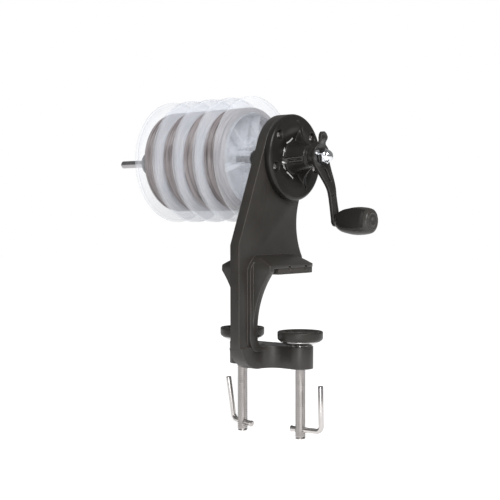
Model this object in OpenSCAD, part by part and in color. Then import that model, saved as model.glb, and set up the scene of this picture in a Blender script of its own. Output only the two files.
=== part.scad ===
// Fishing line winder: a table clamp carries a geared head that spins a stack of line spools.
// X runs along the spool shaft towards the crank, Y away from the viewer, Z up.
// The origin lies on the upper jaw's contact face, midway between the two clamp screws.

/* [Head] */
// Height of the spool shaft above the jaw's contact face
axis_z = 85.3; // [82:0.1:92]
// Distance of the spool shaft behind the plane of the clamp screws
axis_y = 19.4; // [16:0.1:22]
// Outer radius of the round head
head_r = 32.1; // [31.5:0.1:34]
// Thickness of the frame's plate
plate_t = 8; // [7.5:0.1:10]
// Thickness of the wall behind the gears
floor_t = 2.2; // [1.8:0.1:2.6]
// Height of the cover over the plate
cover_h = 5.6; // [5:0.1:7]
// Rounding of the cover's outer edge
cover_round = 2.5; // [1:0.1:3]
// Thickness of the cover over the gears
cover_wall = 3.4; // [3:0.1:3.8]
// Length of the cover's hub beyond its face
hub_h = 14; // [12:0.1:15]
// Radius of the circle of cover screws
screw_ring_r = 25.6; // [25.2:0.1:26]
// Length of the boss on the back of the head
boss_len = 5; // [4:0.1:6]
// Radius of that boss
boss_r = 9; // [8:0.1:10]
// Outer radius of the spool shaft's bush
shaft_bush_r = 5; // [4.4:0.1:6]
// Wall of the crank shaft's bush
crank_bush_wall = 2; // [1.5:0.1:2.4]
// Radius of the hub's foot on the cover
hub_foot_r = 12.5; // [12:0.1:14]
// Radius of the hub's top
hub_top_r = 8; // [7.8:0.1:9]
// Width of the slots in the cover's ribs
slot_w = 1.3; // [1:0.1:1.6]

/* [Gears] */
// Tooth module of the gears
gear_module = 1; // [0.95:0.01:1.04]
// Width of the sun and planet gears
gear_w = 4.4; // [3.6:0.1:4.6]
// Play taken off each tooth's thickness
backlash = 0.3; // [0.25:0.01:0.4]
// Thickness of the planet carrier's disc
carrier_t = 1.8; // [1.5:0.1:2]
// Diameter of the planet pins
planet_pin_d = 4; // [3:0.1:4.4]

/* [Shaft and cones] */
// Diameter of the spool shaft
shaft_d = 6; // [5.4:0.1:6.2]
// Distance of the shaft's free end from the plate's middle
shaft_reach = 171.5; // [165:0.1:185]
// Largest radius of the drive cone
drive_cone_r = 12.5; // [11:0.1:14]
// Largest radius of the end cone
end_cone_r = 9.6; // [9:0.1:11]
// Length of the end cone outside the last spool
end_cone_len = 31.5; // [28:0.1:34]

/* [Spools] */
// Distance of the first spool's outer face from the plate's middle
spool_start = 28.9; // [27:0.1:32]
// Distance from one spool to the next
spool_pitch = 20.4; // [18:0.1:22]
// Radius of the spool flanges
flange_r = 48; // [44:0.1:50]
// Thickness of a flange
flange_t = 1.2; // [1:0.1:1.4]
// Outer radius of the barrel
barrel_r = 36; // [35:0.1:37]
// Wall of the barrel
barrel_wall = 1.5; // [1:0.1:2]
// Outer radius of the spool's hub
spool_hub_r = 10.5; // [9.5:0.1:12]
// Radius of the spool's bore
spool_bore_r = 6.8; // [6.2:0.1:7.4]
// Thickness of a spool's spokes
spoke_t = 1.6; // [1.2:0.1:2.4]

/* [Line] */
// Depth of the wound line over the barrel
line_depth = 3.5; // [3.2:0.1:6]
// Diameter of one turn of the outer layer
turn_d = 1.3; // [1.1:0.05:1.35]
// Distance from one turn to the next
turn_pitch = 1.85; // [1.8:0.01:1.88]

/* [Crank] */
// Distance of the knob's axis from the shaft
crank_throw = 48.5; // [46:0.1:55]
// Turn of the crank from straight down
crank_turn = 13.1; // [0:0.1:30]
// Thickness of the crank arm
arm_t = 2.8; // [2.4:0.1:3.4]
// Outward bend of the crank arm
arm_offset = 5.8; // [4:0.1:6.5]
// Radius of the crank's round middle
crank_mid_r = 10; // [9:0.1:11]
// Diameter of the crank shaft
crank_shaft_d = 8; // [7.8:0.1:8.6]

/* [Knob] */
// Length of the knob
knob_len = 30; // [26:0.1:36]
// Largest radius of the knob
knob_r = 10.3; // [9.8:0.1:12]
// Thickness of the knob across its two grips
knob_thick = 18.4; // [17.6:0.1:19]
// Diameter of the knob's spindle
spindle_d = 6; // [5:0.1:7]

/* [Frame] */
// Gap of the clamp when it is open
throat_gap = 41.4; // [36:0.1:50]
// Depth from the clamp screws' plane back to the throat's face
throat_depth = 24.6; // [23:0.1:30]
// Depth of the stem behind the throat's face
stem_depth = 17.4; // [14:0.1:20]
// Thickness of the flange along the throat
flange_plate_t = 5; // [4:0.1:6]
// Half width of that flange beside the clamp arm
flange_half = 7; // [6:0.1:8.5]
// Radius of the flange's sweep out to the jaw
sweep_r = 68; // [66:0.5:80]
// Half width of the jaw
jaw_half = 22; // [20:0.1:24]
// Distance from the screws' plane to the centre of the jaw's round front
jaw_round_y = 15.4; // [12:0.1:18]
// Thickness of the jaw's edge
jaw_edge_t = 2.2; // [1.5:0.1:3]
// Rise of the jaw from its edge to its crown
jaw_rise = 7.6; // [6:0.1:9]
// Radius of the neck's front curve
neck_curve_r = 46; // [42:0.5:50]
// Radius of the frame's lower outer corner
corner_r = 21; // [16:0.5:22]

/* [Jaw pad] */
// Thickness of the jaw's pad
jaw_pad_t = 4.3; // [3.6:0.1:5]
// Depth of the pad's grooves
groove_depth = 1; // [0.6:0.1:1.4]
// Distance from one groove to the next
groove_pitch = 5; // [4:0.1:6]

/* [Clamp] */
// Distance of each clamp screw from the plate's middle
clamp_x = 26.8; // [26:0.1:32]
// Height of the clamp arm
arm_h = 16; // [13:0.1:20]
// Half width of the clamp arm's crossbar
crossbar_half = 9; // [8:0.1:9.2]
// Radius of the bosses round the clamp screws
clamp_boss_r = 9.5; // [9.4:0.1:11]
// Diameter of the clamp screws
screw_d = 7.94; // [7.5:0.01:8.4]
// Length of the clamp screws
screw_len = 74; // [66:0.1:90]
// Radius of the clamp pads
pad_r = 16.5; // [14:0.1:17]
// Height of the clamp pads
pad_h = 7.8; // [6.4:0.1:9]
// Height of the steel cup under a pad
cup_h = 1.7; // [1.2:0.1:2.2]
// Diameter of the bars through the clamp screws
bar_d = 4; // [3.4:0.1:4.2]
// Length of a bar's shank from its end to its leg
shank_len = 25.1; // [24:0.1:30]
// Length of a bar's leg
leg_len = 33; // [26:0.1:36]

/* [Hidden] */

$fn = 64;
// Clearances: pressed or seated pieces, turning pieces, and pieces that pass by
seat = 0.04;
run = 0.07;
pass = 0.3;
// Overshoot of a cutting shape
cut = 1;

// Gear train: a fixed ring, a sun on the spool shaft and three planets, one crank turn to four
sun_teeth = 12;
ring_teeth = 36;
planet_teeth = (ring_teeth - sun_teeth) / 2;
planet_angles = [90, 210, 330];
gear_ratio = 1 + ring_teeth / sun_teeth;
planet_ratio = ring_teeth / planet_teeth;
pressure_angle = 25;
tooth_tip = 0.87 * gear_module;
tooth_root = 1.3 * gear_module;
flank_steps = 4;
planet_ring_r = (sun_teeth + planet_teeth) * gear_module / 2;
ring_gear_r = ring_teeth * gear_module / 2 + tooth_root + 2.4;

// Places along the shaft
plate_back = -plate_t / 2;
plate_front = plate_t / 2;
pocket_x = plate_back + floor_t;
gear_x = pocket_x + 0.4;
carrier_x = gear_x + gear_w + 0.4;
pocket_top = plate_front + cover_h - cover_wall;
cover_face = plate_front + cover_h;
hub_face = cover_face + hub_h;
boss_face = plate_back - boss_len;
washer_t = 0.8;
washer_x = boss_face - pass - washer_t;
drive_cone_x = washer_x - 0.1;
shaft_inner_end = carrier_x + 5;
crank_x = hub_face + 0.6;
crank_bush_r = crank_shaft_d / 2 + crank_bush_wall;
arm_face = crank_x + 8.4;
arm_back = arm_face - arm_t;
thread_d = 6;
nut_h = 8.5;
// Cover: a shallow dish round the hub and three ribs up to it; a rib's slot is [angle, start, end]
dish_r = screw_ring_r - 2;
dish_depth = 1.6;
rib_half = 2.3;
rib_r = screw_ring_r - 1.6;
rib_slots = [[191, 9, 15], [74, 12, 24], [-62, 14, 27]];
dimple = [86, 26];
cover_screw_r = 1.5;
cover_screw_head_r = 2.6;
screw_recess = 3;
knob_x = arm_face + arm_offset + 0.6;

// Spools
spool_count = 4;
spool_gap = 0.1;
spool_w = spool_pitch - spool_gap;
rim_t = 2;
rim_w = 1.6;
spoke_count = 6;
spoke_inset = 2;
web_t = 1.4;
stack_end = spool_start + spool_count * spool_pitch;

// Outer layer of the wound line: one tube a spool, its ends turned square to the flanges
turns = 7;
loop_rings = 24;
turn_sides = 6;
turn_path_r = barrel_r + line_depth - turn_d / 2;
// The turns' straight steps dip inside their path, and the core stays under the dips
core_r = turn_path_r * cos(180 / loop_rings) - turn_d / 2 - 0.05;
bend_r = 1;
wind_half = turns * turn_pitch / 2;
groove_half = spool_w / 2 - flange_t;
turn_end = groove_half - 0.12;

// Frame
throat_y = -throat_depth;
stem_back = throat_y - stem_depth;
flange_back = throat_y - flange_plate_t;
pad_top = -throat_gap;
pad_bottom = pad_top - pad_h;
cup_bottom = pad_bottom - cup_h;
arm_top = cup_bottom - 1.3;
arm_bottom = arm_top - arm_h;
neck_lean = 22.7;
// The neck's back edge runs just inside the head's outline, so that the two cross cleanly
neck_tangent = [axis_y, axis_z] + polar(head_r - 0.2, 180 - neck_lean);
knee_z = neck_tangent[1] - (neck_tangent[0] - stem_back) / tan(neck_lean);
neck_join = [axis_y, axis_z] + polar(head_r - 1, -70);
neck_waist = [26.7, 36];
sweep_z = arm_top + 12;
throat_fillet = 7;
flare_r = 11;
arm_web_half = 5.5;
jaw_front = jaw_round_y + jaw_half;
jaw_corner_r = 10;
rib_back = flange_back - 3;
rib_lip = 3.3;
rib_corner_r = 9;
lug_w = 3;
lug_places = [-6, 14];

// Clamp screws and bars
insert_r = 6;
journal_r = 3;
journal_top = pad_top - 3;
journal_len = 5.5;
cross_up = 7;
bar_end = 6.2;
clip_r = 5;
clip_t = 0.8;
clip_z = journal_top - 0.4 - clip_t;
recess_floor = clip_z - pass;
screw_top = cup_bottom - pass;
screw_end = screw_top - screw_len + journal_len;
cross_z = screw_end + cross_up;
bar_bend_r = 4;
// For each side: x sign, direction of the bar, how far it has slid, and the lean of its leg
left_bar = [-1, 159.8, 5.2, 8.6];
right_bar = [1, 5.6, 0, -2.3];

// Knob
knob_tilt = 15;
grip_t = 0.9;
cap_r = 7;
spindle_end = knob_x + knob_len - 6;

function polar(r, a) = [r * cos(a), r * sin(a)];
function arc(c, r, a0, a1, n) = [for (i = [0:n]) c + polar(r, a0 + (a1 - a0) * i / n)];

// Puts a shape drawn round Z onto the spool shaft, its Z along X
module on_shaft(x = 0) {
    translate([x, axis_y, axis_z]) rotate([90, 0, 90]) children();
}

// Extrudes an outline of (y, z) along X
module along_x(x0, x1) {
    translate([x0, 0, 0]) rotate([90, 0, 90]) linear_extrude(height = x1 - x0) children();
}

// Extrudes an outline of (x, z) along Y
module along_y(y0, y1) {
    translate([0, y1, 0]) rotate([90, 0, 0]) linear_extrude(height = y1 - y0) children();
}

module tube(h, r, bore) {
    difference() {
        cylinder(h = h, r = r);
        translate([0, 0, -cut]) cylinder(h = h + 2 * cut, r = bore);
    }
}

// Gears: involute flanks worked out from the pitch circle
function inv(a) = tan(a) * 180 / PI - a;
function half_tooth(r, n, thick) = let(
    rp = n * gear_module / 2,
    rb = rp * cos(pressure_angle),
    a = r > rb ? acos(rb / r) : 0)
    thick / rp * 90 / PI + inv(pressure_angle) - inv(a);
function gear_points(n, thick, r0, r1) = [
    for (i = [0:n - 1], k = [0:2 * flank_steps + 1])
        let(up = k <= flank_steps, j = up ? k : 2 * flank_steps + 1 - k,
            r = r0 + (r1 - r0) * j / flank_steps, h = half_tooth(r, n, thick))
        polar(r, i * 360 / n + (up ? -h : h))];

module toothed(n, thick, r0, r1, h) {
    linear_extrude(height = h) polygon(gear_points(n, thick, r0, r1));
}

module spur_gear(n, bore) {
    rp = n * gear_module / 2;
    difference() {
        toothed(n, PI * gear_module / 2 - backlash, rp - tooth_root, rp + tooth_tip, gear_w);
        translate([0, 0, -cut]) cylinder(h = gear_w + 2 * cut, r = bore);
    }
}

// Frame: head, neck, stem, jaw and clamp arm in one moulding
module plate_outline() {
    difference() {
        union() {
            translate([axis_y, axis_z]) circle(r = head_r);
            polygon([[stem_back, jaw_pad_t], [stem_back, knee_z], neck_tangent, [axis_y, axis_z],
                neck_join, [jaw_front - 3, jaw_pad_t + 1]]);
            translate([stem_back, arm_bottom + corner_r])
                square([stem_depth, jaw_pad_t + cut - arm_bottom - corner_r]);
        }
        translate(neck_waist + [neck_curve_r, 0]) circle(r = neck_curve_r, $fn = 96);
    }
}

// Side outline of the lower C: round outside, filleted inside
module lower_outline() {
    difference() {
        union() {
            translate([stem_back, arm_bottom + corner_r]) square([stem_depth, jaw_pad_t - arm_bottom - corner_r]);
            translate([stem_back + corner_r, arm_bottom + corner_r]) circle(r = corner_r);
            translate([stem_back + corner_r, arm_bottom]) square([clamp_boss_r - stem_back - corner_r, arm_h]);
            translate([throat_y, arm_top]) square(throat_fillet);
        }
        translate([throat_y, arm_top + throat_fillet]) square([60, throat_gap]);
        translate([throat_y + throat_fillet, arm_top]) square([60, throat_gap]);
        translate([throat_y + throat_fillet, arm_top + throat_fillet]) circle(r = throat_fillet);
    }
}

module arm_plan() {
    translate([-clamp_x, -crossbar_half]) square([2 * clamp_x, 2 * crossbar_half]);
    translate([-arm_web_half, stem_back]) square([2 * arm_web_half, -stem_back]);
    for (s = [-1, 1]) {
        translate([s * clamp_x, 0]) circle(r = clamp_boss_r);
        difference() {
            translate([s * (arm_web_half + flare_r / 2), -crossbar_half - flare_r / 2])
                square(flare_r, center = true);
            translate([s * (arm_web_half + flare_r), -crossbar_half - flare_r]) circle(r = flare_r);
        }
    }
}

module clamp_arm() {
    intersection() {
        translate([0, 0, arm_bottom]) linear_extrude(height = arm_h) arm_plan();
        along_x(-clamp_x - clamp_boss_r - cut, clamp_x + clamp_boss_r + cut) lower_outline();
    }
}

module flange_outline() {
    difference() {
        translate([-jaw_half, arm_top + 6]) square([2 * jaw_half, jaw_pad_t - 5 - arm_top]);
        for (s = [-1, 1]) {
            translate([s * (flange_half + sweep_r), sweep_z]) circle(r = sweep_r, $fn = 128);
            translate([s * (flange_half + 50), sweep_z - 50]) square(100, center = true);
        }
    }
}

// Half section of the jaw, from its middle out to its edge
function jaw_section() = concat(
    [[0, jaw_pad_t], [jaw_half, jaw_pad_t], [jaw_half, jaw_pad_t + jaw_edge_t]],
    [for (i = [1:5]) [jaw_half * (1 - i / 5.5), jaw_pad_t + jaw_edge_t + jaw_rise * sin(90 * i / 5.5)]],
    [[0, jaw_pad_t + jaw_edge_t + jaw_rise]]);

module jaw_plate() {
    along_y(flange_back, jaw_round_y) union() {
        polygon(jaw_section());
        mirror([1, 0]) polygon(jaw_section());
    }
    translate([0, jaw_round_y, 0]) rotate_extrude(angle = 180) polygon(jaw_section());
}

// What the round of the jaw's upper back corner takes off, as an outline of (y, z)
module jaw_corner() {
    top = jaw_pad_t + jaw_edge_t + jaw_rise;
    difference() {
        translate([flange_back - cut, top - jaw_corner_r]) square(jaw_corner_r + cut);
        translate([flange_back + jaw_corner_r, top - jaw_corner_r]) circle(r = jaw_corner_r);
    }
}

// Rib round the throat, wider than the plate: down the stem and out over the clamp arm
module throat_rib() {
    along_x(-flange_half, flange_half) polygon(concat(
        arc([rib_back + jaw_corner_r, 1], jaw_corner_r, 102, 180, 8),
        arc([rib_back + rib_corner_r, arm_top - rib_lip + rib_corner_r], rib_corner_r, 180, 270, 10),
        [[-crossbar_half, arm_top - rib_lip], [-crossbar_half, arm_top]],
        arc([throat_y + throat_fillet, arm_top + throat_fillet], throat_fillet, 270, 180, 8)));
}

module lugs(clear) {
    for (s = [-1, 1], y = lug_places)
        translate([s * (jaw_half - 0.7), y, jaw_pad_t])
            cube([1.4 + 2 * clear, lug_w + 2 * clear, 3 + 2 * clear], center = true);
}

module cover_screw_places() {
    for (a = [52, 107, -52, -107]) rotate(90 + a) translate([screw_ring_r, 0, 0]) children();
}

module frame() {
    color("#33312f") difference() {
        union() {
            along_x(plate_back, plate_front) plate_outline();
            along_x(plate_back, plate_front) lower_outline();
            difference() {
                union() {
                    along_y(flange_back, throat_y) flange_outline();
                    jaw_plate();
                }
                along_x(-jaw_half - cut, jaw_half + cut) jaw_corner();
            }
            throat_rib();
            clamp_arm();
            on_shaft(boss_face) cylinder(h = boss_len + 0.5, r = boss_r);
        }
        on_shaft(pocket_x) cylinder(h = plate_t, r = ring_gear_r + seat);
        on_shaft(boss_face - cut) cylinder(h = plate_t + boss_len + cut, r = shaft_bush_r + seat);
        on_shaft(pocket_x) cover_screw_places() cylinder(h = plate_t, r = cover_screw_r + seat);
        for (s = [-1, 1])
            translate([s * clamp_x, 0, arm_bottom - cut]) cylinder(h = arm_h + 2 * cut, r = insert_r + seat);
        lugs(seat);
    }
}

module shaft_bush() {
    color("#9a7a48") on_shaft(boss_face) tube(boss_len + floor_t, shaft_bush_r, shaft_d / 2 + run);
}

// Cover: a rounded disc dished towards its hub, and three slotted ribs running up the hub
module gearbox_cover() {
    r = head_r;
    color("#33312f") difference() {
        union() {
            on_shaft(plate_front) rotate_extrude() polygon(concat([[0, 0], [r, 0]],
                arc([r - cover_round, cover_h - cover_round], cover_round, 0, 90, 5),
                [[dish_r, cover_h], [hub_foot_r, cover_h - dish_depth], [0, cover_h - dish_depth]]));
            on_shaft(cover_face - dish_depth - 0.5)
                cylinder(h = hub_h + dish_depth - 1.9, r1 = hub_foot_r, r2 = hub_top_r);
            on_shaft(hub_face - 3) cylinder(h = 3, r = hub_top_r - 0.4);
            on_shaft() for (s = rib_slots) rotate(s[0]) rotate([90, 0, 0]) translate([0, 0, -rib_half])
                linear_extrude(height = 2 * rib_half) polygon([[0, pocket_top + 1], [rib_r, pocket_top + 1],
                    [rib_r, cover_face + 0.1], [hub_top_r + 0.5, hub_face - 2.1], [0, hub_face - 2.1]]);
        }
        on_shaft(plate_front - cut) cylinder(h = pocket_top - plate_front + cut, r = ring_gear_r - 1.5);
        on_shaft(plate_front) cylinder(h = hub_face, r = crank_bush_r + seat);
        on_shaft(plate_front - cut) cover_screw_places()
            cylinder(h = cover_h + 2 * cut, r = cover_screw_r + 0.2);
        on_shaft(cover_face - screw_recess) cover_screw_places()
            cylinder(h = 2 * screw_recess, r = cover_screw_head_r + 0.8);
        on_shaft(cover_face - 1) for (s = rib_slots) rotate(s[0]) translate([s[1], -slot_w / 2, 0])
            cube([s[2] - s[1], slot_w, hub_h + cut]);
        on_shaft(cover_face - 0.6) rotate(dimple[0]) translate([dimple[1], 0, 0]) cylinder(h = 2, r = 1);
    }
}

module cover_screws() {
    color("#55524f") on_shaft() cover_screw_places() {
        translate([0, 0, pocket_x + 0.2]) cylinder(h = cover_face - screw_recess - pocket_x, r = cover_screw_r);
        translate([0, 0, cover_face - screw_recess]) cylinder(h = 1.4, r = cover_screw_head_r);
        translate([0, 0, cover_face - screw_recess + 1.4])
            cylinder(h = 0.7, r1 = cover_screw_head_r, r2 = cover_screw_head_r - 0.9);
    }
}

module ring_gear() {
    rp = ring_teeth * gear_module / 2;
    color("#b9b4a8") on_shaft(pocket_x) difference() {
        cylinder(h = plate_front - pocket_x, r = ring_gear_r);
        translate([0, 0, -cut]) rotate(180 / ring_teeth)
            toothed(ring_teeth, PI * gear_module / 2 + backlash, rp - tooth_tip, rp + tooth_root,
                plate_t + 2 * cut);
    }
}

module crank_bush() {
    color("#9a7a48") on_shaft(pocket_top) tube(hub_face - pocket_top, crank_bush_r, crank_shaft_d / 2 + run);
}

module jaw_pad() {
    first = floor((throat_y + 8) / groove_pitch);
    last = floor(jaw_front / groove_pitch);
    color("#2a2827") difference() {
        union() {
            translate([-jaw_half + 0.4, throat_y + 6, 0])
                cube([2 * jaw_half - 0.8, jaw_round_y - throat_y - 6, jaw_pad_t]);
            translate([0, jaw_round_y, 0]) rotate_extrude(angle = 180) square([jaw_half - 0.4, jaw_pad_t]);
            lugs(0);
        }
        for (i = [first:last])
            translate([-jaw_half - cut, (i + 0.5) * groove_pitch - 0.8, -cut])
                cube([2 * jaw_half + 2 * cut, 1.6, groove_depth + cut]);
    }
}

module clamp_inserts() {
    color("#a8a39b") for (s = [-1, 1])
        translate([s * clamp_x, 0, arm_bottom]) tube(arm_h, insert_r, screw_d / 2 + run);
}

// Spool shaft and what is fixed on it
module spool_shaft() {
    color("#8f8f92") difference() {
        union() {
            on_shaft(1 - shaft_reach) cylinder(h = shaft_reach - 1 + shaft_inner_end, r = shaft_d / 2);
            on_shaft(-shaft_reach) cylinder(h = 1, r1 = shaft_d / 2 - 0.8, r2 = shaft_d / 2);
        }
        on_shaft(drive_cone_x - 6) translate([0, 20, 0]) rotate([90, 0, 0]) cylinder(h = 40, r = 1 + seat);
    }
}

module sun_gear() {
    color("#b9b4a8") on_shaft(gear_x) rotate(gear_ratio * crank_turn) spur_gear(sun_teeth, shaft_d / 2 + seat);
}

// The cone's surface meets the mouth of the first spool's bore
module drive_cone() {
    mouth = spool_start + drive_cone_x;
    mouth_r = spool_bore_r - 0.05;
    len = mouth + 1.8;
    slope = 0.48;
    tip_r = mouth_r - slope * (len - mouth);
    color("#201f1e") on_shaft(drive_cone_x) mirror([0, 0, 1]) difference() {
        rotate_extrude() polygon([[shaft_d / 2 + seat, 0], [drive_cone_r - 1, 0], [drive_cone_r, 1],
            [drive_cone_r, 5], [mouth_r + 3.2 * slope, mouth - 3.2], [tip_r, len], [shaft_d / 2 + seat, len]]);
        translate([0, 20, 6]) rotate([90, 0, 0]) cylinder(h = 40, r = 1 + seat);
    }
}

module cone_pin() {
    color("#8f8f92") on_shaft(drive_cone_x - 6) translate([0, drive_cone_r - 1, 0])
        rotate([90, 0, 0]) cylinder(h = 2 * drive_cone_r - 2, r = 1);
}

module thrust_washer() {
    color("#8f8f92") on_shaft(washer_x) tube(washer_t, 7, shaft_d / 2 + seat);
}

module end_cone() {
    face = stack_end + end_cone_len;
    bore = shaft_d / 2 + run;
    color("#201f1e") difference() {
        on_shaft(-face) rotate_extrude() polygon([[bore, 0], [end_cone_r - 1.6, 0], [end_cone_r - 0.4, 1],
            [end_cone_r, 2.4], [end_cone_r, 13], [spool_bore_r - 0.1, end_cone_len],
            [spool_bore_r - 0.9, end_cone_len + 3], [bore, end_cone_len + 3]]);
        on_shaft(8 - face) rotate([-90, 0, 0]) cylinder(h = end_cone_r + cut, r = 1.5 + seat);
    }
}

module end_cone_screw() {
    color("#8f8f92") on_shaft(8 - stack_end - end_cone_len) rotate([-90, 0, 0])
        translate([0, 0, shaft_d / 2 + run]) difference() {
            cylinder(h = end_cone_r - shaft_d / 2 - 1, r = 1.5);
            translate([0, 0, end_cone_r - shaft_d / 2 - 2.5]) cylinder(h = 3, r = 0.85, $fn = 6);
        }
}

// Puts a shape drawn round Z from 0 up to the spool's width at the place of spool i
module spool_place(i) {
    on_shaft(-spool_start - i * spool_pitch + spool_gap / 2) children();
}

// Spools: clear mouldings with a barrel, a bored hub, a thin web and spokes, and two flanges on the barrel
module spool(i) {
    inner = barrel_r - barrel_wall;
    color("#dfe9ee", 0.35) spool_place(i) {
        tube(spool_w, barrel_r, inner);
        tube(spool_w, spool_hub_r, spool_bore_r);
        translate([0, 0, (spool_w - web_t) / 2]) tube(web_t, inner + 0.2, spool_hub_r - 0.2);
        for (k = [0:spoke_count - 1]) rotate(k * 360 / spoke_count)
            translate([spool_hub_r - 0.5, -spoke_t / 2, spoke_inset])
                cube([inner - spool_hub_r + 1, spoke_t, spool_w - 2 * spoke_inset]);
    }
}

module spool_flanges(i) {
    rim = flange_r - rim_w;
    color("#dfe9ee", 0.35) spool_place(i) for (s = [0, 1]) translate([0, 0, s * spool_w]) mirror([0, 0, s])
        rotate_extrude($fn = 128) polygon([[barrel_r + seat, 0], [flange_r, 0], [flange_r, rim_t], [rim, rim_t],
            [rim, flange_t], [barrel_r + seat, flange_t]]);
}

// Wound line: a plain core under one layer of turns
module line_core(i) {
    color("#8d8482") spool_place(i) translate([0, 0, flange_t + 0.1])
        tube(2 * groove_half - 0.2, core_r, barrel_r + 0.05);
}

// Each point of a turn's path is [x, angle round the shaft, turn of the path towards X]
wind_path = let(per_mm = 180 / PI / turn_path_r, last = turns * loop_rings) concat(
    [[-turn_end, -bend_r * per_mm, 90]],
    [for (a = [90, 60, 30]) [-wind_half - bend_r * (1 - cos(a)), -bend_r * sin(a) * per_mm, a]],
    [for (i = [0:last]) [-wind_half + turn_pitch * i / loop_rings, 360 * i / loop_rings, 0]],
    [for (a = [30, 60, 90]) [wind_half + bend_r * (1 - cos(a)), 360 * turns + bend_r * sin(a) * per_mm, a]],
    [[turn_end, 360 * turns + bend_r * per_mm, 90]]);
function turn_centre(p) = [p[0], turn_path_r * cos(p[1]), turn_path_r * sin(p[1])];
function turn_ring(p) = let(
    out = [0, cos(p[1]), sin(p[1])],
    side = [cos(p[2]), sin(p[2]) * sin(p[1]), -sin(p[2]) * cos(p[1])])
    [for (k = [0:turn_sides - 1]) turn_centre(p)
        + turn_d / 2 * (out * cos(k * 360 / turn_sides) + side * sin(k * 360 / turn_sides))];
line_least_gap = min([for (i = [0:len(wind_path) - 1]) for (j = [i + loop_rings / 2:1:len(wind_path) - 1])
    norm(turn_centre(wind_path[i]) - turn_centre(wind_path[j]))]) - turn_d;
echo(line_least_gap = line_least_gap);

module line_turns(i) {
    n = turn_sides;
    rings = len(wind_path);
    points = [for (p = wind_path) each turn_ring(p)];
    faces = concat(
        [for (k = [1:n - 2]) [0, k + 1, k]],
        [for (r = [0:rings - 2], k = [0:n - 1]) [r * n + k, r * n + (k + 1) % n, (r + 1) * n + (k + 1) % n]],
        [for (r = [0:rings - 2], k = [0:n - 1]) [r * n + k, (r + 1) * n + (k + 1) % n, (r + 1) * n + k]],
        [for (k = [1:n - 2]) [(rings - 1) * n, (rings - 1) * n + k, (rings - 1) * n + k + 1]]);
    color("#a29a97") translate([-spool_start - (i - 0.5) * spool_pitch, axis_y, axis_z])
        rotate([i * 100, 0, 0]) polyhedron(points, faces);
}

// Crank: everything is drawn with its arm straight down, then turned round the shaft
module crank_place() {
    translate([0, axis_y, axis_z]) rotate([crank_turn, 0, 0]) children();
}

module crank_shaft() {
    color("#8f8f92") on_shaft(carrier_x) difference() {
        union() {
            cylinder(h = arm_back - 0.5 - carrier_x, r = crank_shaft_d / 2);
            cylinder(h = arm_face + nut_h - 3 - carrier_x, r = thread_d / 2);
        }
        translate([0, 0, -cut]) cylinder(h = shaft_inner_end - carrier_x + 0.4 + cut, r = shaft_d / 2 + run);
    }
}

module planet_places() {
    for (a = planet_angles) translate([0, planet_ring_r * cos(a), planet_ring_r * sin(a)]) children();
}

module planet_carrier() {
    color("#77736d") crank_place() difference() {
        translate([carrier_x, 0, 0]) rotate([90, 0, 90])
            tube(carrier_t, planet_ring_r + 4.4, crank_shaft_d / 2 + seat);
        planet_places() translate([carrier_x - cut, 0, 0]) rotate([90, 0, 90])
            cylinder(h = carrier_t + 2 * cut, r = planet_pin_d / 2 + seat);
    }
}

module planet_pins() {
    color("#8f8f92") crank_place() planet_places() translate([pocket_x + pass, 0, 0]) rotate([90, 0, 90])
        cylinder(h = carrier_x + carrier_t - pocket_x - pass, r = planet_pin_d / 2);
}

// A planet's gap faces the sun's tooth, and it has rolled back along the ring as far as the crank has turned
module planet_gear(i) {
    a = planet_angles[i - 1];
    color("#b9b4a8") crank_place() translate([gear_x, planet_ring_r * cos(a), planet_ring_r * sin(a)])
        rotate([90, 0, 90]) rotate(180 / planet_teeth - planet_ratio * crank_turn)
            spur_gear(planet_teeth, planet_pin_d / 2 + run);
}

// Crank arm: its face outline cut with its bent side profile
arm_side = [[crank_mid_r - 0.7, -3.6], [8, -7.9], [6.2, -15.4], [4.5, -22.9], [3.7, -30.4], [3.9, -37.9],
    [4.1, -crank_throw]];
lobe = [[-4, 0], [-3.9, 14.4], [-2.7, 16.8], [-0.6, 18.3], [1.7, 18], [3.5, 16.4], [4.7, 13.7],
    [4.2, 11], [4, 0]];

module arm_outline() {
    last = len(arm_side) - 1;
    circle(r = crank_mid_r);
    polygon(concat(arm_side, [for (i = [last:-1:0]) [-arm_side[i][0], arm_side[i][1]]]));
    translate([0, -crank_throw]) circle(r = 4.2);
    polygon(lobe);
}

// Side profile of (x, z): flat behind the nut, both ends bent outwards
bend_steps = 8;
function arm_bend(x, i) = let(t = i / bend_steps) [x + arm_offset * t * t * (3 - 2 * t), -2 - 25 * t];
module arm_profile() {
    a = arm_back;
    b = arm_face;
    o = arm_offset;
    polygon(concat(
        [[a, 7.5], [a + o * 0.62, 12.5], [a + o * 0.7, 20], [b + o * 0.7, 20], [b + o * 0.62, 12], [b, 6.5]],
        [for (i = [0:bend_steps]) arm_bend(b, i)], [[b + o, -crank_throw - 8], [a + o, -crank_throw - 8]],
        [for (i = [bend_steps:-1:0]) arm_bend(a, i)]));
}

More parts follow.
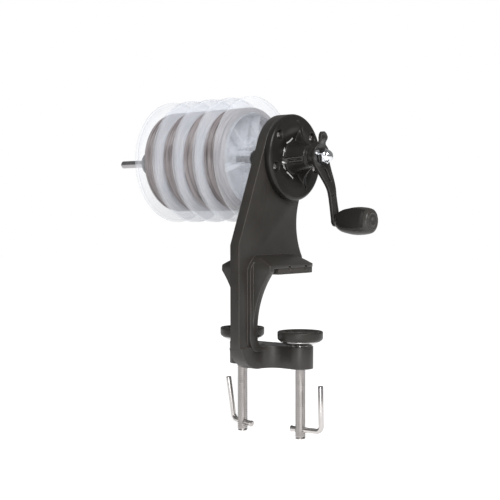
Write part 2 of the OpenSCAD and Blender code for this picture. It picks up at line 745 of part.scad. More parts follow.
module crank_arm() {
    color("#2b2a29") crank_place() difference() {
        union() {
            intersection() {
                translate([crank_x, 0, 0]) rotate([90, 0, 90]) linear_extrude(height = 40) arm_outline();
                translate([0, 20, 0]) rotate([90, 0, 0]) linear_extrude(height = 40) arm_profile();
            }
            translate([crank_x, 0, 0]) rotate([90, 0, 90]) cylinder(h = arm_back - crank_x + 0.5, r = 7);
        }
        translate([crank_x - cut, 0, 0]) rotate([90, 0, 90])
            cylinder(h = arm_back - 0.5 - crank_x + cut, r = crank_shaft_d / 2 + seat);
        translate([crank_x, 0, 0]) rotate([90, 0, 90]) cylinder(h = 20, r = thread_d / 2 + seat);
        translate([arm_back - cut, 0, -crank_throw]) rotate([90, 0, 90])
            cylinder(h = 20, r = spindle_d / 2 - 1 + seat);
        translate([arm_back - cut, -6.2, 4.1]) rotate([90, 0, 90]) cylinder(h = 10, r = 1.2 + seat);
        translate([arm_face, 0, 0]) rotate([90, 0, 90]) cylinder(h = 10, r = 6.1);
        translate([arm_back - cut, -0.6, -19.6]) cube([20, 2.6, 10.6]);
        translate([arm_back - cut, 0.2, -29.5]) rotate([90, 0, 90]) cylinder(h = 20, r = 1);
    }
}

module lock_screw() {
    color("#e4e4e6") crank_place() translate([arm_face, -6.2, 4.1]) rotate([90, 0, 90]) {
        translate([0, 0, -2.8]) cylinder(h = 2.9, r = 1.2);
        cylinder(h = 1, r = 2.1);
        translate([0, 0, 1]) cylinder(h = 0.8, r1 = 2.1, r2 = 1.4);
    }
}

module acorn_nut() {
    color("#e4e4e6") crank_place() translate([arm_face, 0, 0]) rotate([90, 0, 90]) difference() {
        union() {
            cylinder(h = 4.2, r = 5.8, $fn = 6);
            translate([0, 0, 4.2 - cut]) cylinder(h = 0.6 + cut, r = 4.9);
            intersection() {
                translate([0, 0, nut_h - 4.7]) sphere(r = 4.7);
                cylinder(h = nut_h, r = 4.6);
            }
        }
        translate([0, 0, -cut]) cylinder(h = nut_h - 2.7 + cut, r = thread_d / 2 + seat);
    }
}

// The spindle is riveted through the arm's end and turns in the knob
module knob_spindle() {
    color("#8f8f92") crank_place() translate([0, 0, -crank_throw]) rotate([90, 0, 90]) {
        translate([0, 0, arm_back + arm_offset - 0.8]) cylinder(h = 0.8, r = spindle_d / 2);
        translate([0, 0, arm_back + arm_offset - 0.4]) cylinder(h = arm_t + 1, r = spindle_d / 2 - 1);
        translate([0, 0, arm_face + arm_offset]) cylinder(h = spindle_end - arm_face - arm_offset, r = spindle_d / 2);
        translate([0, 0, spindle_end]) cylinder(h = 1.2, r = spindle_d / 2 + 1.5);
    }
}

// Knob profile as [distance along the knob, radius]
knob_profile = [for (p = [[0, 0.45], [0.05, 0.61], [0.16, 0.79], [0.3, 0.89], [0.45, 0.97], [0.6, 1],
    [0.75, 0.98], [0.88, 0.93], [0.97, 0.85], [1, 0.74]]) [p[1] * knob_r, p[0] * knob_len]];

module knob_place() {
    crank_place() translate([knob_x, 0, -crank_throw]) rotate([90, 0, 90]) rotate(-knob_tilt - crank_turn) children();
}

module knob_shape(trim) {
    rotate_extrude() polygon(concat([[0, 0]], [for (p = knob_profile) p - [trim, 0]], [[0, knob_len]]));
}

// Region of the two grips: a rounded window on each broad side
module grip_region(trim) {
    r = knob_r * 0.62 - trim;
    for (s = [-1, 1]) translate([s * (knob_thick / 2 - grip_t), 0, 0]) rotate([0, 90 * s, 0]) linear_extrude(height = 5)
        translate([-s * knob_len * 0.5, 0]) union() {
            square([knob_len * 0.44, 2 * r], center = true);
            for (e = [-1, 1]) translate([e * knob_len * 0.22, 0]) circle(r = r);
        }
}

module knob() {
    back = spindle_end - knob_x;
    color("#3a3836") knob_place() difference() {
        intersection() {
            knob_shape(0);
            translate([-knob_thick / 2, -knob_r - cut, -cut]) cube([knob_thick, 2 * knob_r + 2 * cut, knob_len + 2 * cut]);
        }
        translate([0, 0, -cut]) cylinder(h = back + 2 * cut, r = spindle_d / 2 + run);
        translate([0, 0, back - pass]) cylinder(h = knob_len, r = spindle_d / 2 + 1.5 + pass);
        translate([0, 0, knob_len - 1.2]) cylinder(h = 2 * cut, r = cap_r + seat);
        grip_region(0);
    }
}

module knob_grips() {
    color("#1c1b1a") knob_place() intersection() {
        knob_shape(0.2);
        translate([-knob_thick / 2 - 0.1, -knob_r, 0]) cube([knob_thick + 0.2, 2 * knob_r, knob_len]);
        grip_region(0.1);
    }
}

module knob_cap() {
    color("#45423f") knob_place() translate([0, 0, knob_len - 1.2]) {
        cylinder(h = 1.6, r = cap_r);
        translate([0, 0, -3]) cylinder(h = 3.5, r = spindle_d / 2 + 1.4);
    }
}

// Clamp: a swivelling pad on a screw that a loose bar turns
module clamp_pad(s) {
    color("#2f2d2b") translate([s * clamp_x, 0, 0]) difference() {
        translate([0, 0, pad_bottom]) rotate_extrude() polygon([[0, 0], [pad_r - 2, 0], [pad_r - 0.5, 1.6],
            [pad_r, 3], [pad_r, pad_h - 0.6], [pad_r - 0.6, pad_h], [0, pad_h]]);
        translate([0, 0, pad_top - 1.2]) cylinder(h = 1.2 + cut, r1 = pad_r - 4.4, r2 = pad_r - 4.4 + (1.2 + cut) * 1.4);
        translate([0, 0, recess_floor]) cylinder(h = 10, r = clip_r + pass);
        translate([0, 0, pad_bottom - cut]) cylinder(h = pad_h, r = journal_r + run);
    }
}

module clamp_cup(s) {
    color("#c9c9cb") translate([s * clamp_x, 0, cup_bottom]) difference() {
        cylinder(h = cup_h, r1 = pad_r - 6, r2 = pad_r - 2.4);
        translate([0, 0, -cut]) cylinder(h = cup_h + 2 * cut, r = journal_r + run);
    }
}

module clamp_screw(b) {
    color("#a9a8ab") difference() {
        translate([b[0] * clamp_x, 0, 0]) {
            translate([0, 0, screw_end]) cylinder(h = 1, r1 = screw_d / 2 - 0.9, r2 = screw_d / 2);
            translate([0, 0, screw_end + 1]) cylinder(h = screw_top - screw_end - 1, r = screw_d / 2);
            translate([0, 0, screw_top - cut]) cylinder(h = journal_top - screw_top + cut, r = journal_r);
        }
        translate([b[0] * clamp_x, 0, cross_z]) rotate([90, 0, b[1] + 90])
            cylinder(h = 20, r = bar_d / 2 + run, center = true);
    }
}

module pad_clip(s) {
    color("#8f8f92") translate([s * clamp_x, 0, clip_z]) tube(clip_t, clip_r, journal_r + seat);
}

module clamp_bar(b) {
    reach = shank_len - bar_end - 1.4 - b[2];
    straight = reach - bar_bend_r;
    r = bar_d / 2;
    color("#b4b3b6") translate([b[0] * clamp_x, 0, cross_z]) rotate([0, 0, b[1]]) rotate([-b[3], 0, 0]) {
        translate([straight, 0, 0]) rotate([0, -90, 0]) cylinder(h = straight + bar_end + b[2], r = r);
        translate([-bar_end - b[2], 0, 0]) rotate([0, -90, 0]) cylinder(h = 1.4, r1 = r, r2 = r + 0.5);
        translate([straight, 0, bar_bend_r]) rotate([90, 0, 0]) rotate(-90)
            rotate_extrude(angle = 90) translate([bar_bend_r, 0]) circle(r = r);
        translate([reach, 0, bar_bend_r]) cylinder(h = leg_len - bar_bend_r, r = r);
    }
}

frame();
gearbox_cover();
cover_screws();
ring_gear();
shaft_bush();
crank_bush();
jaw_pad();
clamp_inserts();
spool_shaft();
sun_gear();
drive_cone();
cone_pin();
thrust_washer();
spool(1);  // spool_1
spool(2);  // spool_2
spool(3);  // spool_3
spool(4);  // spool_4
spool_flanges(1);  // spool_flanges_1
spool_flanges(2);  // spool_flanges_2
spool_flanges(3);  // spool_flanges_3
spool_flanges(4);  // spool_flanges_4
line_core(1);  // line_core_1
line_core(2);  // line_core_2
line_core(3);  // line_core_3
line_core(4);  // line_core_4
line_turns(1);  // line_turns_1
line_turns(2);  // line_turns_2
line_turns(3);  // line_turns_3
line_turns(4);  // line_turns_4
end_cone();
end_cone_screw();
crank_shaft();
planet_carrier();
planet_pins();
planet_gear(1);  // planet_gear_1
planet_gear(2);  // planet_gear_2
planet_gear(3);  // planet_gear_3
crank_arm();
lock_screw();
acorn_nut();
knob_spindle();
knob();
knob_grips();
knob_cap();
clamp_pad(-1);  // clamp_pad_left
clamp_pad(1);  // clamp_pad_right
clamp_cup(-1);  // clamp_cup_left
clamp_cup(1);  // clamp_cup_right
clamp_screw(left_bar);  // clamp_screw_left
clamp_screw(right_bar);  // clamp_screw_right
pad_clip(-1);  // pad_clip_left
pad_clip(1);  // pad_clip_right
clamp_bar(left_bar);  // clamp_bar_left
clamp_bar(right_bar);  // clamp_bar_right
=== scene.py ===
import math
import random

import bmesh
import bpy
from mathutils import Matrix, Vector


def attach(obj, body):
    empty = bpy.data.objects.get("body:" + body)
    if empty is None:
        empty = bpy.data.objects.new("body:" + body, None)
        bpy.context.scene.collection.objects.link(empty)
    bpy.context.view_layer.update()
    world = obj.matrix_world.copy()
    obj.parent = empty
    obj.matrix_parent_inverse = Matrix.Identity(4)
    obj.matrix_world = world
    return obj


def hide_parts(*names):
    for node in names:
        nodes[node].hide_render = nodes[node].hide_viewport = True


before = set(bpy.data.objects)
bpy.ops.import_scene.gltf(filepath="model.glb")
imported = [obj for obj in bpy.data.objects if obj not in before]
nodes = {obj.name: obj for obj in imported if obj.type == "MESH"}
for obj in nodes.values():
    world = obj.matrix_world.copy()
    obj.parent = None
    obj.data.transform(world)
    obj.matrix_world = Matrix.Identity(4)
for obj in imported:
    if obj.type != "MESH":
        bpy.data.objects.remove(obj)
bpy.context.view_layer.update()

unit = 0.001  # pieces are drawn in millimetres and finished in metres
shaftPlace = {"y": 19.4, "z": 85.3}
crankTurn = math.radians(13.1)
print("frame loaded:", len(nodes), "nodes")


def addNode(tree, kind, **values):
    node = tree.nodes.new(kind)
    for key, value in values.items():
        if key in node.inputs:
            node.inputs[key].default_value = value
        else:
            setattr(node, key, value)
    return node


def newGroup(name, inputs, outputs):
    group = bpy.data.node_groups.new(name, "ShaderNodeTree")
    for label, kind, value in inputs:
        group.interface.new_socket(name=label, in_out="INPUT", socket_type=kind).default_value = value
    for label, kind in outputs:
        group.interface.new_socket(name=label, in_out="OUTPUT", socket_type=kind)
    return group, group.nodes.new("NodeGroupInput"), group.nodes.new("NodeGroupOutput")


def makeGrainGroup():
    group, given, put = newGroup(
        "mouldedGrain", [("Scale", "NodeSocketFloat", 1500.0), ("Blotch", "NodeSocketFloat", 60.0)],
        [("Height", "NodeSocketFloat"), ("Mottle", "NodeSocketFloat")])
    place = addNode(group, "ShaderNodeTexCoord")
    fine = addNode(group, "ShaderNodeTexNoise", Detail=4.0, Roughness=0.6)
    wide = addNode(group, "ShaderNodeTexNoise", Detail=3.0, Roughness=0.55)
    link = group.links.new
    for node, socket in ((fine, "Scale"), (wide, "Blotch")):
        link(place.outputs["Object"], node.inputs["Vector"])
        link(given.outputs[socket], node.inputs["Scale"])
    link(fine.outputs["Fac"], put.inputs["Height"])
    link(wide.outputs["Fac"], put.inputs["Mottle"])
    return group


# Painted edge highlight: a mask where the rounded normal leaves the true one, with that rounded normal
def makeEdgeGroup():
    group, given, put = newGroup(
        "paintedEdgeHighlight", [("Radius", "NodeSocketFloat", 0.0008), ("Amount", "NodeSocketFloat", 1.0)],
        [("Mask", "NodeSocketFloat"), ("Normal", "NodeSocketVector")])
    soft = addNode(group, "ShaderNodeBevel", samples=6)
    geo = addNode(group, "ShaderNodeNewGeometry")
    dot = addNode(group, "ShaderNodeVectorMath", operation="DOT_PRODUCT")
    reach = addNode(group, "ShaderNodeMapRange")
    reach.inputs["From Min"].default_value = 0.995
    reach.inputs["From Max"].default_value = 0.8
    scale = addNode(group, "ShaderNodeMath", operation="MULTIPLY")
    link = group.links.new
    link(given.outputs["Radius"], soft.inputs["Radius"])
    link(soft.outputs["Normal"], dot.inputs[0])
    link(geo.outputs["Normal"], dot.inputs[1])
    link(dot.outputs["Value"], reach.inputs["Value"])
    link(reach.outputs["Result"], scale.inputs[0])
    link(given.outputs["Amount"], scale.inputs[1])
    link(scale.outputs["Value"], put.inputs["Mask"])
    link(soft.outputs["Normal"], put.inputs["Normal"])
    return group


# Fine lines left by turning or brushing, stretched by the vector
def makeBrushGroup():
    group, given, put = newGroup("turnedLines", [("Stretch", "NodeSocketVector", (200.0, 3000.0, 3000.0))],
                                 [("Height", "NodeSocketFloat"), ("Shade", "NodeSocketFloat")])
    place = addNode(group, "ShaderNodeTexCoord")
    mapping = addNode(group, "ShaderNodeMapping")
    lines = addNode(group, "ShaderNodeTexNoise", Scale=1.0, Detail=3.0)
    smudge = addNode(group, "ShaderNodeTexNoise", Scale=140.0, Detail=4.0)
    link = group.links.new
    link(place.outputs["Object"], mapping.inputs["Vector"])
    link(given.outputs["Stretch"], mapping.inputs["Scale"])
    link(mapping.outputs["Vector"], lines.inputs["Vector"])
    link(place.outputs["Object"], smudge.inputs["Vector"])
    link(lines.outputs["Fac"], put.inputs["Height"])
    link(smudge.outputs["Fac"], put.inputs["Shade"])
    return group


grainGroup, edgeGroup, brushGroup = makeGrainGroup(), makeEdgeGroup(), makeBrushGroup()


def groupNode(tree, group, **values):
    node = tree.nodes.new("ShaderNodeGroup")
    node.node_tree = group
    for key, value in values.items():
        node.inputs[key].default_value = value
    return node


def newMaterial(name, **shader):
    material = bpy.data.materials.new(name)
    material.use_nodes = True
    tree = material.node_tree
    principled = tree.nodes["Principled BSDF"]
    for key, value in shader.items():
        principled.inputs[key.replace("_", " ")].default_value = value
    return material, tree, principled


def mixColours(tree, low, high, mask):
    mix = addNode(tree, "ShaderNodeMix", data_type="RGBA")
    mix.inputs[6].default_value = (*low, 1)
    mix.inputs[7].default_value = (*high, 1)
    tree.links.new(mask, mix.inputs[0])
    return mix.outputs[2]


def spread(tree, value, low, high):
    reach = addNode(tree, "ShaderNodeMapRange")
    reach.inputs["From Min"].default_value = 0.3
    reach.inputs["From Max"].default_value = 0.7
    reach.inputs["To Min"].default_value = low
    reach.inputs["To Max"].default_value = high
    tree.links.new(value, reach.inputs["Value"])
    return reach.outputs["Result"]


# Moulded or painted black: grain in the surface, slow mottling and a painted highlight along the edges
def mouldedMaterial(name, dark, light, edge, rough, grain=1500.0, bump=0.12, radius=0.0007, specular=0.5):
    material, tree, principled = newMaterial(name, Specular_IOR_Level=specular)
    link = tree.links.new
    surface = groupNode(tree, grainGroup, Scale=grain, Blotch=70.0)
    edgeHighlight = groupNode(tree, edgeGroup, Radius=radius, Amount=0.8)
    body = mixColours(tree, dark, light, surface.outputs["Mottle"])
    # Edges take the edge colour through the mask: a painted highlight
    mix = addNode(tree, "ShaderNodeMix", data_type="RGBA")
    mix.inputs[7].default_value = (*edge, 1)
    link(edgeHighlight.outputs["Mask"], mix.inputs[0])
    link(body, mix.inputs[6])
    link(mix.outputs[2], principled.inputs["Base Color"])
    link(spread(tree, surface.outputs["Mottle"], *rough), principled.inputs["Roughness"])
    relief = addNode(tree, "ShaderNodeBump", Strength=bump, Distance=0.0001)
    link(surface.outputs["Height"], relief.inputs["Height"])
    link(edgeHighlight.outputs["Normal"], relief.inputs["Normal"])
    link(relief.outputs["Normal"], principled.inputs["Normal"])
    return material


def metalMaterial(name, dark, light, rough, stretch, bump=0.05):
    material, tree, principled = newMaterial(name, Metallic=1.0)
    link = tree.links.new
    lines = groupNode(tree, brushGroup, Stretch=stretch)
    link(mixColours(tree, dark, light, lines.outputs["Shade"]), principled.inputs["Base Color"])
    link(spread(tree, lines.outputs["Shade"], *rough), principled.inputs["Roughness"])
    relief = addNode(tree, "ShaderNodeBump", Strength=bump, Distance=0.0001)
    link(lines.outputs["Height"], relief.inputs["Height"])
    link(relief.outputs["Normal"], principled.inputs["Normal"])
    return material


# Each material's edge colour is a painted highlight on its edges
frameBlack = mouldedMaterial("frameBlack", dark=(0.022, 0.0195, 0.0175), light=(0.040, 0.036, 0.032),
    edge=(0.13, 0.12, 0.11), rough=(0.34, 0.44), specular=0.42)
coverBlack = mouldedMaterial("coverBlack", dark=(0.011, 0.010, 0.009), light=(0.020, 0.018, 0.016),
    edge=(0.07, 0.065, 0.06), rough=(0.28, 0.38), specular=0.26)
crankBlack = mouldedMaterial("crankBlack", dark=(0.016, 0.015, 0.014), light=(0.028, 0.025, 0.023),
    edge=(0.12, 0.11, 0.10), rough=(0.26, 0.36), specular=0.35)
knobBlack = mouldedMaterial("knobBlack", dark=(0.034, 0.031, 0.028), light=(0.050, 0.045, 0.041),
    edge=(0.14, 0.13, 0.12), rough=(0.3, 0.4), specular=0.35)
gripRubber = mouldedMaterial("gripRubber", dark=(0.012, 0.011, 0.010), light=(0.020, 0.018, 0.017),
    edge=(0.05, 0.047, 0.044), rough=(0.55, 0.7), grain=2600.0, bump=0.3, specular=0.2)
padRubber = mouldedMaterial("padRubber", dark=(0.040, 0.036, 0.032), light=(0.060, 0.054, 0.049),
    edge=(0.12, 0.11, 0.10), rough=(0.5, 0.65), grain=2200.0, bump=0.25, specular=0.25)
clampBlack = mouldedMaterial("clampBlack", dark=(0.020, 0.018, 0.016), light=(0.036, 0.033, 0.029),
    edge=(0.16, 0.15, 0.14), rough=(0.34, 0.46), specular=0.3)
coneBlack = mouldedMaterial("coneBlack", dark=(0.010, 0.009, 0.008), light=(0.018, 0.016, 0.015),
    edge=(0.06, 0.056, 0.052), rough=(0.3, 0.42), specular=0.3)
gearAcetal = mouldedMaterial("gearAcetal", dark=(0.66, 0.63, 0.56), light=(0.74, 0.71, 0.64),
    edge=(0.8, 0.78, 0.72), rough=(0.35, 0.45))
steel = metalMaterial("steel", dark=(0.30, 0.29, 0.29), light=(0.46, 0.45, 0.46), rough=(0.2, 0.32),
    stretch=(300.0, 5000.0, 5000.0))
zincSteel = metalMaterial("zincSteel", dark=(0.36, 0.34, 0.33), light=(0.62, 0.60, 0.59), rough=(0.16, 0.28),
    stretch=(4000.0, 4000.0, 200.0))
chrome = metalMaterial("chrome", dark=(0.62, 0.63, 0.66), light=(0.78, 0.79, 0.81), rough=(0.05, 0.1),
    stretch=(900.0, 900.0, 900.0), bump=0.01)
cupSteel = metalMaterial("cupSteel", dark=(0.40, 0.39, 0.39), light=(0.60, 0.59, 0.59), rough=(0.12, 0.22),
    stretch=(900.0, 900.0, 4000.0), bump=0.02)
darkSteel = metalMaterial("darkSteel", dark=(0.34, 0.33, 0.32), light=(0.60, 0.58, 0.57), rough=(0.22, 0.34),
    stretch=(2500.0, 2500.0, 2500.0))
bronze = metalMaterial("bronze", dark=(0.45, 0.32, 0.16), light=(0.58, 0.43, 0.23), rough=(0.35, 0.5),
    stretch=(1500.0, 1500.0, 1500.0))
carrierZinc = metalMaterial("carrierZinc", dark=(0.3, 0.29, 0.28), light=(0.42, 0.41, 0.4), rough=(0.4, 0.55),
    stretch=(1200.0, 1200.0, 1200.0))


# Clear moulding: seen through face on and milky along its edges, with faint flow marks
def clearMaterial():
    # Its emission is a painted glow, as of light shining through the plastic
    material, tree, principled = newMaterial(
        "clearSpool", Specular_IOR_Level=0.6, Emission_Color=(0.93, 0.95, 1.0, 1), Emission_Strength=0.12)
    link = tree.links.new
    surface = groupNode(tree, grainGroup, Scale=260.0, Blotch=45.0)
    tint = mixColours(tree, (0.76, 0.81, 0.90), (0.93, 0.945, 0.98), surface.outputs["Mottle"])
    link(tint, principled.inputs["Base Color"])
    link(spread(tree, surface.outputs["Mottle"], 0.06, 0.12), principled.inputs["Roughness"])
    facing = addNode(tree, "ShaderNodeLayerWeight", Blend=0.36)
    milky = addNode(tree, "ShaderNodeMapRange")
    milky.inputs["To Min"].default_value = 0.04
    milky.inputs["To Max"].default_value = 0.66
    link(facing.outputs["Facing"], milky.inputs["Value"])
    link(milky.outputs["Result"], principled.inputs["Alpha"])
    relief = addNode(tree, "ShaderNodeBump", Strength=0.05, Distance=0.0003)
    link(surface.outputs["Height"], relief.inputs["Height"])
    link(relief.outputs["Normal"], principled.inputs["Normal"])
    return material


# Wound line: bands that differ a little from turn to turn
def lineMaterial():
    # Its emission is a faint painted glow, as of light shining through the line
    material, tree, principled = newMaterial(
        "woundLine", Coat_Weight=0.8, Coat_Roughness=0.2,
        Emission_Color=(1.0, 0.95, 0.96, 1), Emission_Strength=0.03)
    link = tree.links.new
    place = addNode(tree, "ShaderNodeTexCoord")
    mapping = addNode(tree, "ShaderNodeMapping")
    mapping.inputs["Scale"].default_value = (620.0, 26.0, 26.0)
    bands = addNode(tree, "ShaderNodeTexNoise", Scale=1.0, Detail=3.0)
    link(place.outputs["Object"], mapping.inputs["Vector"])
    link(mapping.outputs["Vector"], bands.inputs["Vector"])
    shade = spread(tree, bands.outputs["Fac"], 0.0, 1.0)
    link(mixColours(tree, (0.055, 0.042, 0.044), (0.40, 0.355, 0.36), shade), principled.inputs["Base Color"])
    link(spread(tree, bands.outputs["Fac"], 0.22, 0.38), principled.inputs["Roughness"])
    return material


clearSpool, woundLine = clearMaterial(), lineMaterial()
whitePrint = mouldedMaterial("whitePrint", dark=(0.6, 0.6, 0.59), light=(0.72, 0.72, 0.71),
    edge=(0.75, 0.75, 0.75), rough=(0.5, 0.6))
print("materials made:", len(bpy.data.materials))


# Turns a profile of (radius, height) once round Z
def spun(profile, steps=96, closed=False):
    bm = bmesh.new()
    verts = [bm.verts.new((r, 0, z)) for r, z in profile]
    edges = [bm.edges.new(pair) for pair in zip(verts, verts[1:])]
    if closed:
        edges.append(bm.edges.new((verts[-1], verts[0])))
    bmesh.ops.spin(bm, geom=verts + edges, cent=(0, 0, 0), axis=(0, 0, 1), angle=2 * math.pi, steps=steps,
                   use_merge=True, use_duplicate=False)
    bmesh.ops.remove_doubles(bm, verts=bm.verts, dist=1e-4)
    bmesh.ops.recalc_face_normals(bm, faces=bm.faces)
    return bm


# Bevels the edges sharper than the angle
def softened(bm, width, segments=2, angle=30):
    sharp = [e for e in bm.edges if len(e.link_faces) == 2 and e.calc_face_angle(0) > math.radians(angle)]
    bmesh.ops.bevel(bm, geom=sharp, offset=width, offset_type="OFFSET", segments=segments, profile=0.5,
                    affect="EDGES", clamp_overlap=True, material=-1)
    return bm


def turned(bm, angle, axis):
    bmesh.ops.rotate(bm, verts=bm.verts, cent=(0, 0, 0), matrix=Matrix.Rotation(angle, 3, axis))
    return bm


def moved(bm, x=0, y=0, z=0):
    bmesh.ops.translate(bm, verts=bm.verts, vec=(x, y, z))
    return bm


def joined(*parts):
    whole = bmesh.new()
    for part in parts:
        mesh = bpy.data.meshes.new("part")
        part.to_mesh(mesh)
        whole.from_mesh(mesh)
        bpy.data.meshes.remove(mesh)
        part.free()
    return whole


# A shape drawn round Z goes onto the spool shaft, its Z along X and its X along Y
def onShaft(bm, x=0):
    bm.transform(Matrix(((0, 0, 1, x), (1, 0, 0, shaftPlace["y"]), (0, 1, 0, shaftPlace["z"]), (0, 0, 0, 1))))
    return bm


# The crank's pieces are drawn in (x, y, z) with the arm straight down and then turned
def onCrank(bm):
    turned(bm, crankTurn, "X")
    return moved(bm, 0, shaftPlace["y"], shaftPlace["z"])


# A merged copy of a CAD node, in millimetres
def fromCad(node):
    bm = bmesh.new()
    bm.from_mesh(nodes[node].data)
    bmesh.ops.scale(bm, vec=(1 / unit,) * 3, verts=bm.verts)
    bmesh.ops.remove_doubles(bm, verts=bm.verts, dist=0.004)
    bmesh.ops.dissolve_limit(bm, angle_limit=math.radians(0.6), verts=bm.verts, edges=bm.edges)
    return bm


def finishPiece(name, bm, material, body, replaced=(), smooth=35):
    bmesh.ops.scale(bm, vec=(unit,) * 3, verts=bm.verts)
    mesh = bpy.data.meshes.new(name)
    bm.to_mesh(mesh)
    bm.free()
    mesh.shade_smooth()
    mesh.set_sharp_from_angle(angle=math.radians(smooth))
    mesh.materials.append(material)
    piece = bpy.data.objects.new(name, mesh)
    bpy.context.scene.collection.objects.link(piece)
    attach(piece, body)
    if replaced:
        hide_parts(*replaced)
    return piece


# Boolean of whole pieces, worked out at once so that no cutter stays in the scene
def combined(bm, other, operation):
    objects = []
    for name, part in (("base", bm), ("tool", other)):
        mesh = bpy.data.meshes.new(name)
        part.to_mesh(mesh)
        part.free()
        objects.append(bpy.data.objects.new(name, mesh))
        bpy.context.scene.collection.objects.link(objects[-1])
    modifier = objects[0].modifiers.new("cut", "BOOLEAN")
    modifier.operation, modifier.object, modifier.solver = operation, objects[1], "EXACT"
    result = bmesh.new()
    result.from_object(objects[0], bpy.context.evaluated_depsgraph_get())
    for item in objects:
        mesh = item.data
        bpy.data.objects.remove(item)
        bpy.data.meshes.remove(mesh)
    return result


keptNodes = {
    "ring_gear": gearAcetal, "sun_gear": gearAcetal, "planet_gear_1": gearAcetal, "planet_gear_2": gearAcetal,
    "planet_gear_3": gearAcetal, "shaft_bush": bronze, "crank_bush": bronze, "clamp_inserts": steel,
    "cone_pin": steel, "thrust_washer": steel, "crank_shaft": steel, "planet_carrier": carrierZinc,
    "planet_pins": steel, "knob_spindle": steel, "pad_clip_left": steel, "pad_clip_right": steel,
    "spool_shaft": steel, "end_cone_screw": darkSteel}

for name, node in nodes.items():
    node.data.materials.clear()
    node.data.materials.append(keptNodes.get(name, frameBlack))
for name in ("drive_cone", "end_cone"):
    nodes[name].data.materials[0] = coneBlack
print("kept nodes dressed:", len(keptNodes))

frameShape = {"edge": 0.9, "padEdge": 0.35, "padSide": 21.8, "lugX": 20.9, "sharp": 35}
bm = softened(fromCad("frame"), frameShape["edge"], 3, frameShape["sharp"])
finishPiece("frameBody", bm, frameBlack, "frame", ["frame"])
bm = fromCad("jaw_pad")  # its lugs end a little inside their slots
for vert in bm.verts:
    if abs(vert.co.x) > frameShape["padSide"]:
        vert.co.x = math.copysign(frameShape["lugX"], vert.co.x)
softened(bm, frameShape["padEdge"], 2, frameShape["sharp"])
finishPiece("jawPad", bm, padRubber, "frame", ["jaw_pad"])
print("frame made")

cover = {
    "face": 9.6, "base": 4.0, "radius": 32.1, "round": 2.5, "roundSteps": 8, "wallDeep": 5.0, "boreR": 6.04,
    "hubRise": 14.0, "capR": 7.5, "capRise": 2.2, "topR": 8.1, "footR": 12.6, "conePower": 1.35,
    "dishR": 23.6, "dishDeep": 2.2, "screwR": 25.6, "screwAngles": (142, 197, 38, -17),
    "recessR": 3.4, "recessDeep": 3.0,
    "ribHalf": 2.0, "ribRise": 11.8, "ribFrom": 24, "ribRun": 15.5, "ribPower": 2.2,
    "slotHalf": 0.65, "slotDeep": 3.4, "dimple": (86, 26), "dimpleDeep": 0.7,
    "steps": 384, "fineR": 15, "fineRing": 0.26, "coarseRing": 0.45}
# Each rib's angle, start and end of its slot, and its own end
cover["ribs"] = ((191, 9, 15, 17), (74, 12, 24, 25), (-62, 14, 27, 25))


def easeStep(a, b, v):
    t = min(max((v - a) / (b - a), 0.0), 1.0)
    return t * t * (3 - 2 * t)


def alongAt(u, v, degrees):
    a = math.radians(degrees)
    return u * math.cos(a) + v * math.sin(a), v * math.cos(a) - u * math.sin(a)


# Height over the cover's flat ring at (u, v), measured from the shaft along Y and Z
def coverHeight(u, v):
    c = cover
    r = math.hypot(u, v)
    height = -c["dishDeep"] * (1 - easeStep(c["footR"] - 1, c["dishR"], r))
    if r < c["footR"]:
        t = min((c["footR"] - r) / (c["footR"] - c["topR"]), 1.0)
        height = max(height, height + (c["hubRise"] - c["capRise"] - height) * t ** c["conePower"])
    if r < c["topR"]:
        height += c["capRise"] * (1 - easeStep(c["capR"] - 0.3, c["capR"] + 0.2, r))
    for angle, slotFrom, slotTo, end in c["ribs"]:
        along, off = alongAt(u, v, angle)
        if along < 4 or abs(off) > 4:
            continue
        slope = (max(c["ribFrom"] - along, 0) / c["ribRun"]) ** c["ribPower"]
        top = min(0.1 + c["ribRise"] * slope, c["ribRise"] + 0.1) * (1 - easeStep(end - 1.2, end + 1.5, along))
        mask = 1 - easeStep(c["ribHalf"] - 0.35, c["ribHalf"] + 0.45, abs(off))
        height += max(top - height, 0) * mask
        slot = (1 - easeStep(c["slotHalf"] - 0.15, c["slotHalf"] + 0.25, abs(off)))
        ends = easeStep(slotFrom - 0.3, slotFrom + 0.5, along)
        slot *= ends * (1 - easeStep(slotTo - 0.5, slotTo + 0.3, along))
        height -= slot * min(max(top, 0) + 1.4, c["slotDeep"])
    for angle in c["screwAngles"]:
        along, off = alongAt(u, v, angle)
        mask = 1 - easeStep(c["recessR"] - 0.3, c["recessR"] + 0.3, math.hypot(along - c["screwR"], off))
        height += (-c["recessDeep"] - height) * mask
    along, off = alongAt(u, v, c["dimple"][0])
    return height - c["dimpleDeep"] * (1 - easeStep(0.7, 1.7, math.hypot(along - c["dimple"][1], off)))


def makeCover():
    c = cover
    flatR = c["radius"] - c["round"]
    rings = [c["boreR"]]
    while rings[-1] < flatR:
        rings.append(min(rings[-1] + (c["fineRing"] if rings[-1] < c["fineR"] else c["coarseRing"]), flatR))
    top = [(r, c["face"]) for r in rings]
    for i in range(1, c["roundSteps"] + 1):
        a = math.radians(90 - 90 * i / c["roundSteps"])
        top.append((flatR + c["round"] * math.cos(a), c["face"] - c["round"] + c["round"] * math.sin(a)))
    profile = [(c["boreR"], c["face"] - c["wallDeep"])] + top + [
        (c["radius"], c["base"] + 0.3), (c["radius"] - 0.3, c["base"]), (c["radius"] - 8, c["base"])]
    bm = spun(profile, c["steps"])
    for vert in bm.verts:
        r = math.hypot(vert.co.x, vert.co.y)
        if vert.co.z > c["face"] - 1e-3 and r <= flatR + 1e-3:
            vert.co.z += coverHeight(vert.co.x, vert.co.y)
    return onShaft(bm)


finishPiece("coverShell", makeCover(), coverBlack, "frame", ["gearbox_cover"], smooth=50)

